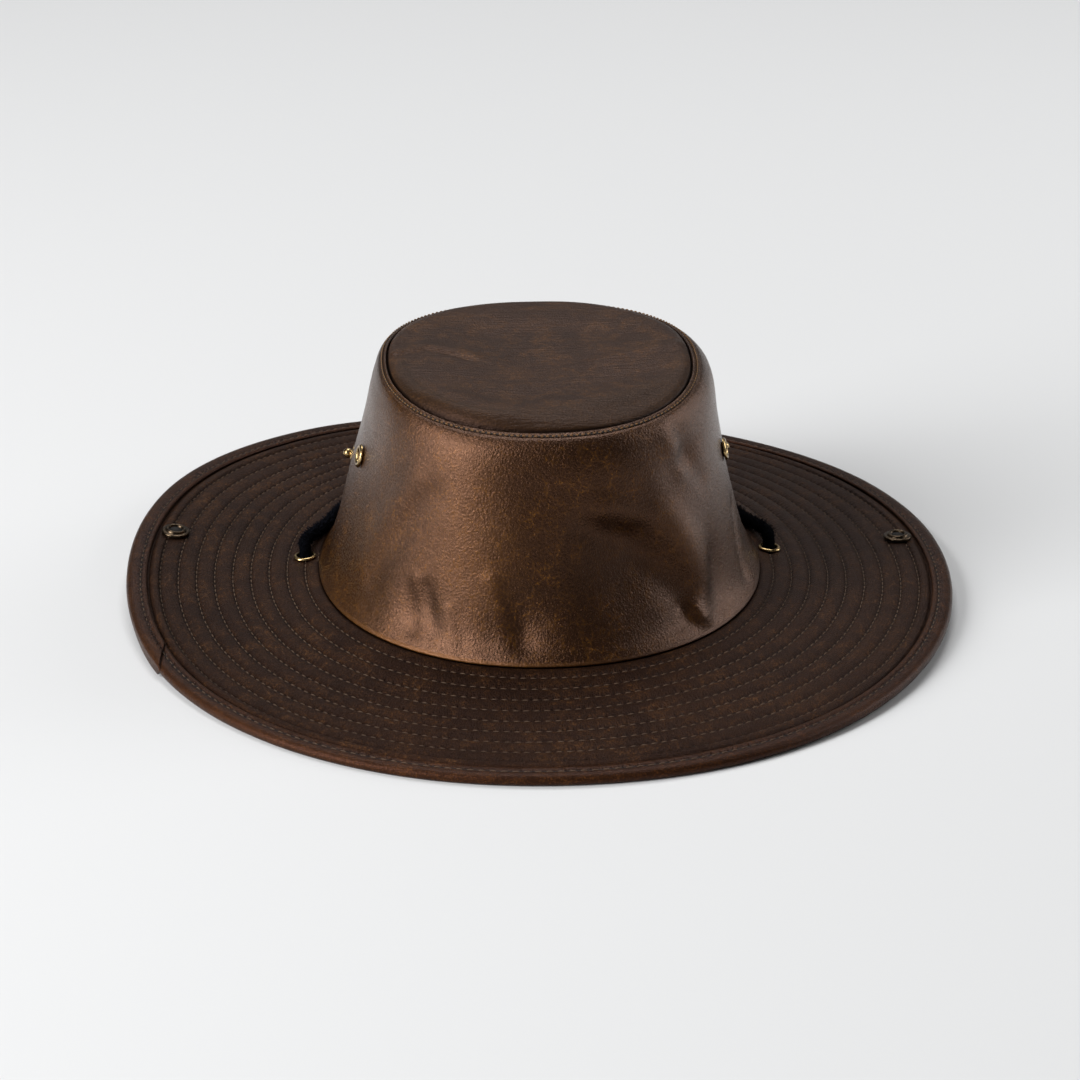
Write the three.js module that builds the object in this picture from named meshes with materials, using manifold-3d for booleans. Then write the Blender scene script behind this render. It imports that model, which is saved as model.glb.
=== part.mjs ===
// A bush hat of brown leather: an oval crown, a quilted brim with a bound edge, brass snaps and eyelets,
// and a chin cord. Millimetres. +Z is up, the front faces -Y, and the origin is on the surface that the
// hat rests on, below the middle of the brim.

import * as THREE from 'three';
import { mergeVertices } from 'three/addons/utils/BufferGeometryUtils.js';
import Module from 'manifold-3d';

const wasm = await Module();
wasm.setup();

// Leather, the gap that neighbouring pieces keep, and the gap below hardware on curved leather
const gap = 0.3;
const seatGap = 0.55;
const leather = 1.4;

// The crown's foot, where its folded edge meets the brim
const footHalfWidth = 91.5;
const footHalfLength = 106.5;
const footSquareness = 2.1;
const foldWidth = 6;
const foldThickness = 1.5;

// The crown's tip, measured at its seam, with the seam's height over the crown's foot
const tipHalfWidth = 62.7;
const tipHalfLength = 74.6;
const tipSquareness = 2.33;
const tipSideHeight = 92.4;
const tipFrontHeight = 87;
const tipBackHeight = 89.7;
const crestSideRise = 1;
const crestFrontRise = 4.6;
const crestBackRise = 3;
const crestShare = 0.86;
const tipDishHeight = 89.8;

// The brim and the binding round its edge
const brimWidth = 80.5;
const brimThickness = 2.6;
const bindingWidth = 8.3;
const bindingThickness = 1;
const tongueThickness = 1.6;
const restPress = 0.55;

// The brim's rings of stitching, evenly spread between the crown and the binding
const quiltRings = 9;
const firstRing = 6.4;
const lastRingInset = 5.4;
const ringPitch = (brimWidth - bindingWidth - lastRingInset - firstRing) / (quiltRings - 1);
const quiltRelief = 0.5;

// Snap sockets on the brim, with their caps below it
const socketRadius = 6;
const socketHeight = 2.1;
const socketHole = 2.3;
const capRadius = 5.6;
const capThickness = 1.1;
const rivetRadius = 2.1;

// Snap studs on the crown, with their posts inside it
const studRadius = 2.5;
const studNeck = 1.5;
const studHeight = 4.2;
const studFlange = 3.9;
const postRadius = 4.4;
const postThickness = 0.9;

// Eyelets, as the radius of the bore and of the rim
const ventBore = 2.5;
const ventRim = 4.85;
const cordBore = 3.5;
const cordRim = 5.4;
const eyeletWall = 0.6;
const rimThickness = 0.9;

// The chin cord and its knot
const cordDiameter = 4.4;
const knotLength = 13;
const knotDiameter = 9;

// Facets round each piece
const leatherFacets = 48;
const snapFacets = 12;
const rivetFacets = 10;
const eyeletFacets = 12;
const cordFacets = 8;
const cordSteps = 76;

// The side panel from the foot to the tip: share of the way along it, of the height, and of the way in
const crownProfile = [
  { along: 0, up: 0, inward: 0 },
  { along: 0.1, up: 0.085, inward: 0.15 },
  { along: 0.22, up: 0.2, inward: 0.27 },
  { along: 0.36, up: 0.34, inward: 0.38 },
  { along: 0.5, up: 0.48, inward: 0.47 },
  { along: 0.64, up: 0.62, inward: 0.555 },
  { along: 0.76, up: 0.74, inward: 0.63 },
  { along: 0.86, up: 0.845, inward: 0.7 },
  { along: 0.93, up: 0.93, inward: 0.78 },
  { along: 0.97, up: 0.98, inward: 0.88 },
  { along: 1, up: 1, inward: 1 },
];

// Where the tip's margin lies under the side panel, as shares of the way along the panel
const tuckStations = [1, 0.97, 0.94];

// Hollows (below 0) and swells of the side panel: degrees round and share of the way along it,
// spread in degrees and as a share, degrees of lean over its length, and depth as a share of the tip's height
const crownDents = [
  { angle: 289, along: 0.42, wide: 14, tall: 0.26, lean: -14, depth: -0.05 },
  { angle: 308, along: 0.45, wide: 6, tall: 0.25, lean: -30, depth: 0.028 },
  { angle: 318, along: 0.2, wide: 5, tall: 0.16, lean: 6, depth: -0.03 },
  { angle: 312, along: 0.8, wide: 7, tall: 0.07, lean: 40, depth: -0.022 },
  { angle: 250, along: 0.55, wide: 12, tall: 0.4, lean: 0, depth: 0.022 },
  { angle: 238, along: 0.16, wide: 5, tall: 0.13, lean: 0, depth: -0.02 },
  { angle: 263, along: 0.15, wide: 6, tall: 0.14, lean: 10, depth: -0.016 },
  { angle: 206, along: 0.4, wide: 14, tall: 0.3, lean: 10, depth: -0.016 },
  { angle: 120, along: 0.45, wide: 16, tall: 0.25, lean: 12, depth: -0.022 },
  { angle: 68, along: 0.4, wide: 15, tall: 0.28, lean: -16, depth: -0.026 },
  { angle: 94, along: 0.5, wide: 10, tall: 0.35, lean: 0, depth: 0.016 },
  { angle: 178, along: 0.82, wide: 42, tall: 0.26, lean: 0, depth: -0.024 },
  { angle: 4, along: 0.92, wide: 30, tall: 0.1, lean: 0, depth: 0.012 },
];

// How the brim lies: the rise of its middle and of its edge over the crown's foot, as shares of its width
const brimLie = [
  { angle: 0, middle: -0.025, edge: -0.022 },
  { angle: 30, middle: -0.038, edge: -0.042 },
  { angle: 60, middle: -0.051, edge: -0.08 },
  { angle: 90, middle: -0.05, edge: -0.09 },
  { angle: 120, middle: -0.01, edge: 0.02 },
  { angle: 150, middle: 0.014, edge: 0.08 },
  { angle: 180, middle: -0.014, edge: 0.03 },
  { angle: 210, middle: -0.06, edge: -0.064 },
  { angle: 240, middle: -0.075, edge: -0.09 },
  { angle: 270, middle: -0.06, edge: -0.087 },
  { angle: 300, middle: -0.034, edge: -0.081 },
  { angle: 330, middle: -0.02, edge: -0.052 },
];
const restRise = Math.min(...brimLie.map((row) => row.edge));

// Where the hardware sits: degrees round, with millimetres out from the crown's foot or share along the panel
const socketOut = brimWidth - bindingWidth - socketRadius - 1.7;
const socketPlaces = [
  { side: 'left', angle: 167, out: socketOut },
  { side: 'right', angle: 9, out: socketOut },
];
const cordEyeletAngle = 4.6;
const cordEyeletOut = 6.8;
const cordEyeletPlaces = [
  { side: 'left', angle: 180 - cordEyeletAngle, out: cordEyeletOut },
  { side: 'right', angle: cordEyeletAngle, out: cordEyeletOut },
];
const studPlaces = [
  { side: 'left', angle: 165, along: 0.46 },
  { side: 'right', angle: 15, along: 0.46 },
];
const ventPlaces = [
  { side: 'left', angle: 193, along: 0.62 },
  { side: 'right', angle: 347, along: 0.62 },
];

// The cord's right half, which its left half mirrors: along the brim beside the crown from the back,
// down through the eyelet, and round under the crown on the resting surface to the knot
const cordRoute = [
  [0, 109.3, 12.9],
  [33.7, 103.1, 12.9],
  [62, 84.7, 13],
  [79.5, 61.6, 13],
  [89.8, 35.9, 13.1],
  [98.1, 13.7, 15],
  [98.1, 9.4, 13.4],
  [98.1, 7.7, 9.6],
  [98.1, 7.7, 7.4],
  [98.1, 6.2, 3.9],
  [98.1, 2.7, 2.6],
  [99.7, -12.8, 2.6],
  [95.2, -40.5, 2.6],
  [81.4, -68.2, 2.6],
  [59.5, -87.3, 2.6],
  [36.6, -88.4, 2.6],
  [22, -73.5, 2.6],
  [16.9, -56.4, 3.2],
  [11.4, -49, 4.8],
  [6.8, -49, 4.8],
];
const knotPlace = new THREE.Vector3(0, -49, 4.8);

// Heights that follow from the sizes above
const bindingReach = tongueThickness / 2 + gap + bindingThickness;
const footHeight = bindingReach - restRise * brimWidth - restPress;

const radians = THREE.MathUtils.degToRad;

// A smooth value between four rows in a row, at the share t between the middle two
function smoothBetween(before, from, to, after, t) {
  const rise = (to - before) / 2;
  const fall = (after - from) / 2;
  const a = 2 * (from - to) + rise + fall;
  const b = 3 * (to - from) - 2 * rise - fall;
  return ((a * t + b) * t + rise) * t + from;
}

// A column of a table whose rows go evenly round the full circle
function aroundTable(rows, column, angle) {
  const place = ((((angle % 360) + 360) % 360) / 360) * rows.length;
  const i = Math.floor(place);
  const value = (k) => rows[(k + rows.length) % rows.length][column];
  return smoothBetween(value(i - 1), value(i), value(i + 1), value(i + 2), place - i);
}

// A column of a table at a share along it
function alongTable(rows, column, along) {
  const last = rows.length - 1;
  const i = Math.min(last - 1, Math.max(0, rows.findIndex((row) => row.along >= along) - 1));
  const slope = (k) => {
    const low = rows[Math.max(k - 1, 0)];
    const high = rows[Math.min(k + 1, last)];
    return (high[column] - low[column]) / (high.along - low.along);
  };
  const width = rows[i + 1].along - rows[i].along;
  const t = (along - rows[i].along) / width;
  const from = rows[i][column];
  const to = rows[i + 1][column];
  const a = 2 * (from - to) + width * (slope(i) + slope(i + 1));
  const b = 3 * (to - from) - width * (2 * slope(i) + slope(i + 1));
  return ((a * t + b) * t + width * slope(i)) * t + from;
}

// A point of an oval in plan at an angle in degrees
function ovalPoint(halfWidth, halfLength, squareness, angle) {
  const c = Math.cos(radians(angle));
  const s = Math.sin(radians(angle));
  const inverse = Math.abs(c / halfWidth) ** squareness + Math.abs(s / halfLength) ** squareness;
  const radius = inverse ** (-1 / squareness);
  return new THREE.Vector2(radius * c, radius * s);
}

// The direction out of the crown's foot, square to it in plan
function footNormal(angle) {
  const p = ovalPoint(footHalfWidth, footHalfLength, footSquareness, angle);
  const x = Math.sign(p.x) * Math.abs(p.x / footHalfWidth) ** (footSquareness - 1) / footHalfWidth;
  const y = Math.sign(p.y) * Math.abs(p.y / footHalfLength) ** (footSquareness - 1) / footHalfLength;
  return new THREE.Vector2(x, y).normalize();
}

// A point of the brim: distance out from the crown's foot, and lift square to the brim's middle layer
function brimPoint(angle, out, lift) {
  const middle = aroundTable(brimLie, 'middle', angle) * brimWidth;
  const edge = Math.max(aroundTable(brimLie, 'edge', angle), restRise) * brimWidth;
  const share = Math.max(out, 0) / brimWidth;
  const bend = 2 * edge - 4 * middle;
  const start = edge - bend;
  const slope = out > 0 ? (start + 2 * bend * share) / brimWidth : 0;
  const square = Math.hypot(1, slope);
  const foot = ovalPoint(footHalfWidth, footHalfLength, footSquareness, angle);
  const plan = foot.addScaledVector(footNormal(angle), out - (lift * slope) / square);
  return new THREE.Vector3(plan.x, plan.y, footHeight + (start + bend * share) * share + lift / square);
}

// A value that goes smoothly from the sides to the front and the back
function sideToEnd(angle, side, front, back) {
  const s = Math.sin(radians(angle));
  const end = s > 0 ? back : front;
  return side + (end - side) * s * s;
}

// The height of the tip's seam
function tipSeamHeight(angle) {
  return footHeight + sideToEnd(angle, tipSideHeight, tipFrontHeight, tipBackHeight);
}

// How far the side panel is pushed in or out
function dentAt(angle, along) {
  let push = 0;
  for (const dent of crownDents) {
    const rise = (along - dent.along) / dent.tall;
    const turn = ((angle - dent.angle - dent.lean * (along - dent.along) + 540) % 360) - 180;
    push += dent.depth * Math.exp(-rise * rise - (turn / dent.wide) ** 2);
  }
  const held = Math.min(1, 16 * along * (1 - along));
  return push * held * tipSideHeight;
}

// A point of the side panel's outer face, before its dents
function plainCrownPoint(angle, along) {
  const foot = ovalPoint(footHalfWidth, footHalfLength, footSquareness, angle);
  const tip = ovalPoint(tipHalfWidth, tipHalfLength, tipSquareness, angle);
  const plan = foot.lerp(tip, alongTable(crownProfile, 'inward', along));
  const low = brimPoint(angle, 0, brimThickness / 2).z + gap + foldThickness;
  return new THREE.Vector3(plan.x, plan.y, low + (tipSeamHeight(angle) - low) * alongTable(crownProfile, 'up', along));
}

// The direction out of the side panel
function crownNormal(angle, along) {
  const step = 0.01;
  const low = Math.max(along - step, 0);
  const high = Math.min(along + step, 1);
  const up = plainCrownPoint(angle, high).sub(plainCrownPoint(angle, low));
  const round = plainCrownPoint(angle + 1, along).sub(plainCrownPoint(angle - 1, along));
  return round.cross(up).normalize();
}

// A point of the side panel, a depth behind its outer face
function crownPoint(angle, along, depth) {
  const push = dentAt(angle, along) - depth;
  return plainCrownPoint(angle, along).addScaledVector(crownNormal(angle, along), push);
}

// The height of the tip's upper face at a share of the way from its middle to its seam
function tipHeightAt(angle, share) {
  const seam = tipSeamHeight(angle);
  const crest = seam + sideToEnd(angle, crestSideRise, crestFrontRise, crestBackRise);
  const dish = footHeight + tipDishHeight;
  if (share < crestShare) {
    return dish + ((crest - dish) * (1 - Math.cos((Math.PI * share) / crestShare))) / 2;
  }
  const start = seam - leather - gap;
  return start + (crest - start) * Math.sin((Math.PI / 2) * ((1 - share) / (1 - crestShare)));
}

function tipPoint(angle, share, depth) {
  const plan = ovalPoint(tipHalfWidth, tipHalfLength, tipSquareness, angle).multiplyScalar(share);
  return new THREE.Vector3(plan.x, plan.y, tipHeightAt(angle, share) - depth);
}

// The angles of a number of facets round the hat
function anglesRound(facets) {
  return Array.from({ length: facets }, (_, i) => (360 * i) / facets);
}

// A closed body from rings of points, each joined to the next, with the last joined to the first,
// or closed by a point at each end where the end points are given
function ringBody(rings, startPoint, endPoint) {
  const count = rings[0].length;
  const positions = rings.flat().flatMap((p) => [p.x, p.y, p.z]);
  const index = [];
  const open = Boolean(startPoint);
  const bands = open ? rings.length - 1 : rings.length;
  for (let band = 0; band < bands; band += 1) {
    const next = (band + 1) % rings.length;
    for (let i = 0; i < count; i += 1) {
      const j = (i + 1) % count;
      const a = band * count + i;
      const b = band * count + j;
      const c = next * count + i;
      const d = next * count + j;
      index.push(a, b, d, a, d, c);
    }
  }
  if (open) {
    const first = rings.length * count;
    positions.push(startPoint.x, startPoint.y, startPoint.z, endPoint.x, endPoint.y, endPoint.z);
    const last = (rings.length - 1) * count;
    for (let i = 0; i < count; i += 1) {
      const j = (i + 1) % count;
      index.push(first, j, i, first + 1, last + i, last + j);
    }
  }
  const geometry = new THREE.BufferGeometry();
  geometry.setAttribute('position', new THREE.Float32BufferAttribute(positions, 3));
  geometry.setIndex(index);
  return geometry;
}

// The solid that the boolean library works on
function toSolid(geometry) {
  const bare = geometry.clone();
  bare.deleteAttribute('normal');
  bare.deleteAttribute('uv');
  const merged = mergeVertices(bare, 1e-4);
  return new wasm.Manifold(new wasm.Mesh({
    numProp: 3,
    vertProperties: new Float32Array(merged.attributes.position.array),
    triVerts: new Uint32Array(merged.index.array),
  }));
}

function toGeometry(solid) {
  const mesh = solid.getMesh();
  const geometry = new THREE.BufferGeometry();
  geometry.setAttribute('position', new THREE.Float32BufferAttribute(mesh.vertProperties, 3));
  geometry.setIndex(Array.from(mesh.triVerts));
  return geometry;
}

// The frame of a piece of hardware: its seat on the leather's outer face, with Z out of the leather
function frameAt(place, normal) {
  const turn = new THREE.Quaternion().setFromUnitVectors(new THREE.Vector3(0, 0, 1), normal);
  return new THREE.Matrix4().compose(place, turn, new THREE.Vector3(1, 1, 1));
}

// The frame on the brim's top, clear of the quilting's crests
function brimFrame({ angle, out }) {
  const top = brimThickness / 2 + quiltRelief;
  const across = brimPoint(angle, out + 1, top).sub(brimPoint(angle, out - 1, top));
  const round = brimPoint(angle + 1, out, top).sub(brimPoint(angle - 1, out, top));
  return frameAt(brimPoint(angle, out, top), across.cross(round).normalize());
}

function crownFrame({ angle, along }) {
  const up = crownPoint(angle, along + 0.04, 0).sub(crownPoint(angle, along - 0.04, 0));
  const round = crownPoint(angle + 3, along, 0).sub(crownPoint(angle - 3, along, 0));
  return frameAt(crownPoint(angle, along, 0), round.cross(up).normalize());
}

// A turned piece from a closed outline of [radius, height] points
function turned(outline, facets) {
  const points = [...outline, outline[0]].map(([radius, height]) => new THREE.Vector2(radius, height));
  return new THREE.LatheGeometry(points, facets).rotateX(Math.PI / 2);
}

// Leather with a round hole at each frame, as clear all round as it says
function withHoles(geometry, holes) {
  const depth = 8 * leather;
  let solid = toSolid(geometry);
  for (const { frame, clear } of holes) {
    const radius = clear / Math.cos(Math.PI / eyeletFacets);
    const cutter = new THREE.CylinderGeometry(radius, radius, depth, eyeletFacets).rotateX(Math.PI / 2);
    solid = solid.subtract(toSolid(cutter.applyMatrix4(frame)));
  }
  return toGeometry(solid);
}

function makeCrownTip() {
  const topShares = [0.3, 0.58, 0.76, 0.86, 0.94];
  const underShares = [0.92, 0.76, 0.4];
  const angles = anglesRound(leatherFacets);
  const tucked = (along, depth) => angles.map((angle) => crownPoint(angle, along, depth));
  const rings = [
    ...topShares.map((share) => angles.map((angle) => tipPoint(angle, share, 0))),
    ...tuckStations.map((along) => tucked(along, leather + gap)),
    ...tuckStations.toReversed().map((along) => tucked(along, 2 * leather + gap)),
    ...underShares.map((share) => angles.map((angle) => tipPoint(angle, share, leather))),
  ];
  return ringBody(rings.reverse(), tipPoint(0, 0, leather), tipPoint(0, 0, 0));
}

function makeCrownSide() {
  const outerStations = [0, 0.05, 0.12, 0.2, 0.29, 0.39, 0.49, 0.59, 0.69, 0.79, 0.88, 0.94, 0.97, 1];
  const innerStations = [...tuckStations, 0.86, 0.68, 0.48, 0.3, 0.13];
  const angles = anglesRound(leatherFacets);
  const onFold = (angle, out, lift) => {
    const p = brimPoint(angle, out, brimThickness / 2);
    p.z += gap + lift;
    return p;
  };
  const rings = [
    angles.map((angle) => onFold(angle, -foldWidth, 0)),
    angles.map((angle) => onFold(angle, 0, 0)),
    ...outerStations.map((along) => angles.map((angle) => crownPoint(angle, along, 0))),
    ...innerStations.map((along) => angles.map((angle) => crownPoint(angle, along, leather))),
    angles.map((angle) => onFold(angle, -foldWidth, foldThickness)),
  ];
  const holes = [
    ...ventPlaces.map((place) => ({ frame: crownFrame(place), clear: ventBore + eyeletWall + gap })),
    ...studPlaces.map((place) => ({ frame: crownFrame(place), clear: rivetRadius + gap })),
  ];
  return withHoles(ringBody(rings), holes);
}

function makeBrim() {
  const half = brimThickness / 2;
  const tongue = tongueThickness / 2;
  const bindingStart = brimWidth - bindingWidth;
  const tongueEnd = brimWidth - bindingThickness - gap;
  const top = [{ out: -foldWidth, lift: half }, { out: 0, lift: half }];
  for (let ring = 0; ring < quiltRings; ring += 1) {
    const out = firstRing + ring * ringPitch;
    top.push({ out: out - (ring ? ringPitch : firstRing) / 2, lift: half + quiltRelief });
    top.push({ out, lift: half });
  }
  top.push({ out: bindingStart - 3 * gap, lift: half });
  top.push({ out: bindingStart - gap, lift: tongue });
  top.push({ out: tongueEnd, lift: tongue });
  const under = [
    { out: tongueEnd, lift: -tongue },
    { out: bindingStart - gap, lift: -tongue },
    { out: bindingStart - 3 * gap, lift: -half },
    ...[0.7, 0.45, 0.2, 0].map((share) => ({ out: share * brimWidth, lift: -half })),
    { out: -foldWidth, lift: -half },
  ];
  const angles = anglesRound(leatherFacets);
  const rings = [...top, ...under].map(({ out, lift }) => angles.map((angle) => brimPoint(angle, out, lift)));
  const holes = [
    ...cordEyeletPlaces.map((place) => ({ frame: brimFrame(place), clear: cordBore + eyeletWall + gap })),
    ...socketPlaces.map((place) => ({ frame: brimFrame(place), clear: rivetRadius + gap })),
  ];
  return withHoles(ringBody(rings.reverse()), holes);
}

function makeBinding() {
  const inside = tongueThickness / 2 + gap;
  const thick = inside + bindingThickness;
  const section = [
    { out: -bindingWidth, lift: inside },
    { out: -bindingWidth, lift: thick * 0.94 },
    { out: -bindingWidth * 0.5, lift: thick },
    { out: -bindingThickness, lift: thick * 0.8 },
    { out: 0, lift: thick * 0.3 },
    { out: 0, lift: -thick * 0.3 },
    { out: -bindingThickness, lift: -thick },
    { out: -bindingWidth, lift: -thick },
    { out: -bindingWidth, lift: -inside },
    { out: -bindingThickness, lift: -inside },
    { out: -bindingThickness, lift: inside },
  ];
  const onFloor = (p) => {
    p.z = Math.max(p.z, 0);
    return p;
  };
  const angles = anglesRound(leatherFacets);
  const rings = section.map(({ out, lift }) => (
    angles.map((angle) => onFloor(brimPoint(angle, brimWidth + out, lift)))
  ));
  return ringBody(rings.reverse());
}

function makeSocket(frame) {
  const outline = [
    [socketHole, seatGap],
    [socketRadius - 0.3, seatGap],
    [socketRadius, seatGap + 0.25 * socketHeight],
    [socketRadius - 0.9, seatGap + 0.85 * socketHeight],
    [socketRadius - 2, seatGap + socketHeight],
    [socketHole + 0.7, seatGap + 0.85 * socketHeight],
    [socketHole, seatGap + 0.5 * socketHeight],
  ];
  return turned(outline, snapFacets).applyMatrix4(frame);
}

// A cap or post behind the leather, with its rivet through to the piece in front
function makeRivet(frame, radius, thickness, behind) {
  const face = -behind - seatGap;
  const outline = [
    [0, face - thickness],
    [radius * 0.8, face - thickness],
    [radius, face - thickness / 2],
    [radius, face],
    [rivetRadius, face],
    [rivetRadius, seatGap - gap],
    [0, seatGap - gap],
  ];
  return turned(outline, rivetFacets).applyMatrix4(frame);
}

function makeStud(frame) {
  const outline = [
    [0, seatGap],
    [studFlange, seatGap],
    [studFlange - 0.4, seatGap + 0.15 * studHeight],
    [studNeck, seatGap + 0.2 * studHeight],
    [studNeck, seatGap + 0.34 * studHeight],
    [studRadius, seatGap + 0.55 * studHeight],
    [studRadius, seatGap + 0.7 * studHeight],
    [studRadius * 0.7, seatGap + 0.93 * studHeight],
    [0, seatGap + studHeight],
  ];
  return turned(outline, rivetFacets).applyMatrix4(frame);
}

// An eyelet: a rim on the front, a wall through the leather and a plain rim behind it
function makeEyelet(frame, bore, rim, through) {
  const back = -through - seatGap;
  const outline = [
    [bore, back - eyeletWall],
    [rim - 0.4, back - eyeletWall],
    [rim - 0.4, back],
    [bore + eyeletWall, back],
    [bore + eyeletWall, seatGap],
    [rim, seatGap],
    [(bore + rim) / 2 + 0.3, seatGap + rimThickness],
    [bore, seatGap + rimThickness * 0.6],
  ];
  return turned(outline, eyeletFacets).applyMatrix4(frame);
}

// A curve whose steps follow its points, so that they lie close together where the cord bends
class RouteCurve extends THREE.CatmullRomCurve3 {
  getPointAt(share, target) {
    return this.getPoint(share, target);
  }

  getTangentAt(share, target) {
    return this.getTangent(share, target);
  }

  getSpacedPoints(steps) {
    return this.getPoints(steps);
  }
}

function makeCord() {
  const right = cordRoute.map((p) => new THREE.Vector3(...p));
  const left = cordRoute.slice(1).reverse().map(([x, y, z]) => new THREE.Vector3(-x, y, z));
  const route = new RouteCurve([...left, ...right], false, 'centripetal');
  const section = new THREE.Shape();
  for (let i = 0; i < cordFacets; i += 1) {
    const turn = (2 * Math.PI * (i + 0.5)) / cordFacets;
    const x = (cordDiameter / 2) * Math.cos(turn);
    const y = (cordDiameter / 2) * Math.sin(turn);
    if (i) section.lineTo(x, y);
    else section.moveTo(x, y);
  }
  const tube = new THREE.ExtrudeGeometry(section, { steps: cordSteps, extrudePath: route, bevelEnabled: false });
  return toGeometry(toSolid(tube));
}

function makeKnot() {
  const outline = [
    [0, -knotLength / 2],
    [knotDiameter * 0.3, -knotLength / 2],
    [knotDiameter * 0.47, -knotLength * 0.27],
    [knotDiameter * 0.5, 0],
    [knotDiameter * 0.45, knotLength * 0.27],
    [knotDiameter * 0.3, knotLength / 2],
    [0, knotLength / 2],
  ];
  const knot = turned(outline, rivetFacets).rotateY(Math.PI / 2);
  return knot.translate(knotPlace.x, knotPlace.y, knotPlace.z);
}

// Finishes
const tipLeather = new THREE.MeshStandardMaterial({ color: '#3f2f26', roughness: 0.55, metalness: 0 });
const crownLeather = new THREE.MeshStandardMaterial({ color: '#5b4029', roughness: 0.45, metalness: 0 });
const brimLeather = new THREE.MeshStandardMaterial({ color: '#3c2c24', roughness: 0.6, metalness: 0 });
const bindingLeather = new THREE.MeshStandardMaterial({ color: '#4a3326', roughness: 0.5, metalness: 0 });
const antiqueBrass = new THREE.MeshStandardMaterial({ color: '#6e5a3c', roughness: 0.4, metalness: 1 });
const brightBrass = new THREE.MeshStandardMaterial({ color: '#c9a25a', roughness: 0.25, metalness: 1 });
const blackCord = new THREE.MeshStandardMaterial({ color: '#0c0d11', roughness: 0.95, metalness: 0 });

const hat = new THREE.Group();

function addPiece(parent, name, geometry, material) {
  const mesh = new THREE.Mesh(geometry, material);
  mesh.name = name;
  parent.add(mesh);
}

// The leather pieces
const body = new THREE.Group();
addPiece(body, 'crown_tip', makeCrownTip(), tipLeather);
addPiece(body, 'crown_side', makeCrownSide(), crownLeather);
addPiece(body, 'brim', makeBrim(), brimLeather);
addPiece(body, 'brim_binding', makeBinding(), bindingLeather);
hat.add(body);

// The snaps and eyelets
const hardware = new THREE.Group();
const brimThrough = brimThickness + quiltRelief;
for (const place of socketPlaces) {
  const frame = brimFrame(place);
  const cap = makeRivet(frame, capRadius, capThickness, brimThrough);
  addPiece(hardware, `snap_socket_${place.side}`, makeSocket(frame), antiqueBrass);
  addPiece(hardware, `snap_cap_${place.side}`, cap, antiqueBrass);
}
for (const place of studPlaces) {
  const frame = crownFrame(place);
  const post = makeRivet(frame, postRadius, postThickness, leather);
  addPiece(hardware, `snap_stud_${place.side}`, makeStud(frame), brightBrass);
  addPiece(hardware, `snap_post_${place.side}`, post, antiqueBrass);
}
for (const place of ventPlaces) {
  const eyelet = makeEyelet(crownFrame(place), ventBore, ventRim, leather);
  addPiece(hardware, `vent_eyelet_${place.side}`, eyelet, brightBrass);
}
for (const place of cordEyeletPlaces) {
  const eyelet = makeEyelet(brimFrame(place), cordBore, cordRim, brimThrough);
  addPiece(hardware, `cord_eyelet_${place.side}`, eyelet, brightBrass);
}
hat.add(hardware);

// The chin cord
const strap = new THREE.Group();
addPiece(strap, 'chin_cord', makeCord(), blackCord);
addPiece(strap, 'cord_knot', makeKnot(), blackCord);
hat.add(strap);

export default hat;
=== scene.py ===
"""A bush hat of distressed brown leather, with a quilted brim, a bound edge, brass snaps and eyelets and a
black chin cord. Metres, +Z up, the front of the hat faces -Y. Left and right are as the camera sees them."""

import math

import bmesh
import bpy
import numpy as np
from mathutils import Matrix, Vector, noise


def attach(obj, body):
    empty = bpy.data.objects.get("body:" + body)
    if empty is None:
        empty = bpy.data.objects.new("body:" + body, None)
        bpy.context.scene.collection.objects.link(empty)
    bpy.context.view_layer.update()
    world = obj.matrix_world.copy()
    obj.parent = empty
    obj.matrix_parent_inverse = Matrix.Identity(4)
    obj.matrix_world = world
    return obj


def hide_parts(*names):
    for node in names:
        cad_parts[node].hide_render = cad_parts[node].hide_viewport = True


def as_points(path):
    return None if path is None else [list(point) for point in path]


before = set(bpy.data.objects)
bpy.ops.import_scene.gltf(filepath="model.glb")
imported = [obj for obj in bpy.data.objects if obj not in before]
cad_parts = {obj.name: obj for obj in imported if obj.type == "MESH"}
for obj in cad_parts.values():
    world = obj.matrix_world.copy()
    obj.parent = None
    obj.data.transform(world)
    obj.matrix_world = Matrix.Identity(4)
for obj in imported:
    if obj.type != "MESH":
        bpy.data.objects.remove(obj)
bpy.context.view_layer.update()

# Leather and the gap that neighbouring pieces keep
GAP = 0.0003
SEAT_GAP = 0.00055
LEATHER = 0.0014

# The crown's foot, where its folded edge meets the brim
FOOT_HALF_WIDTH = 0.0915
FOOT_HALF_LENGTH = 0.1065
FOOT_SQUARENESS = 2.1
FOLD_WIDTH = 0.006
FOLD_THICKNESS = 0.0015

# The crown's tip, measured at its seam, with the seam's height over the crown's foot
TIP_HALF_WIDTH = 0.0627
TIP_HALF_LENGTH = 0.0746
TIP_SQUARENESS = 2.33
TIP_SIDE_HEIGHT = 0.0924
TIP_FRONT_HEIGHT = 0.087
TIP_BACK_HEIGHT = 0.0897
CREST_SIDE_RISE = 0.001
CREST_FRONT_RISE = 0.0046
CREST_BACK_RISE = 0.003
TIP_DISH_HEIGHT = 0.0898
TIP_FLUSH = 0.0012

# The brim and the binding round its edge
BRIM_WIDTH = 0.0805
BRIM_THICKNESS = 0.0026
BINDING_WIDTH = 0.0083
BINDING_THICKNESS = 0.001
TONGUE_THICKNESS = 0.0016
REST_PRESS = 0.00055

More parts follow.
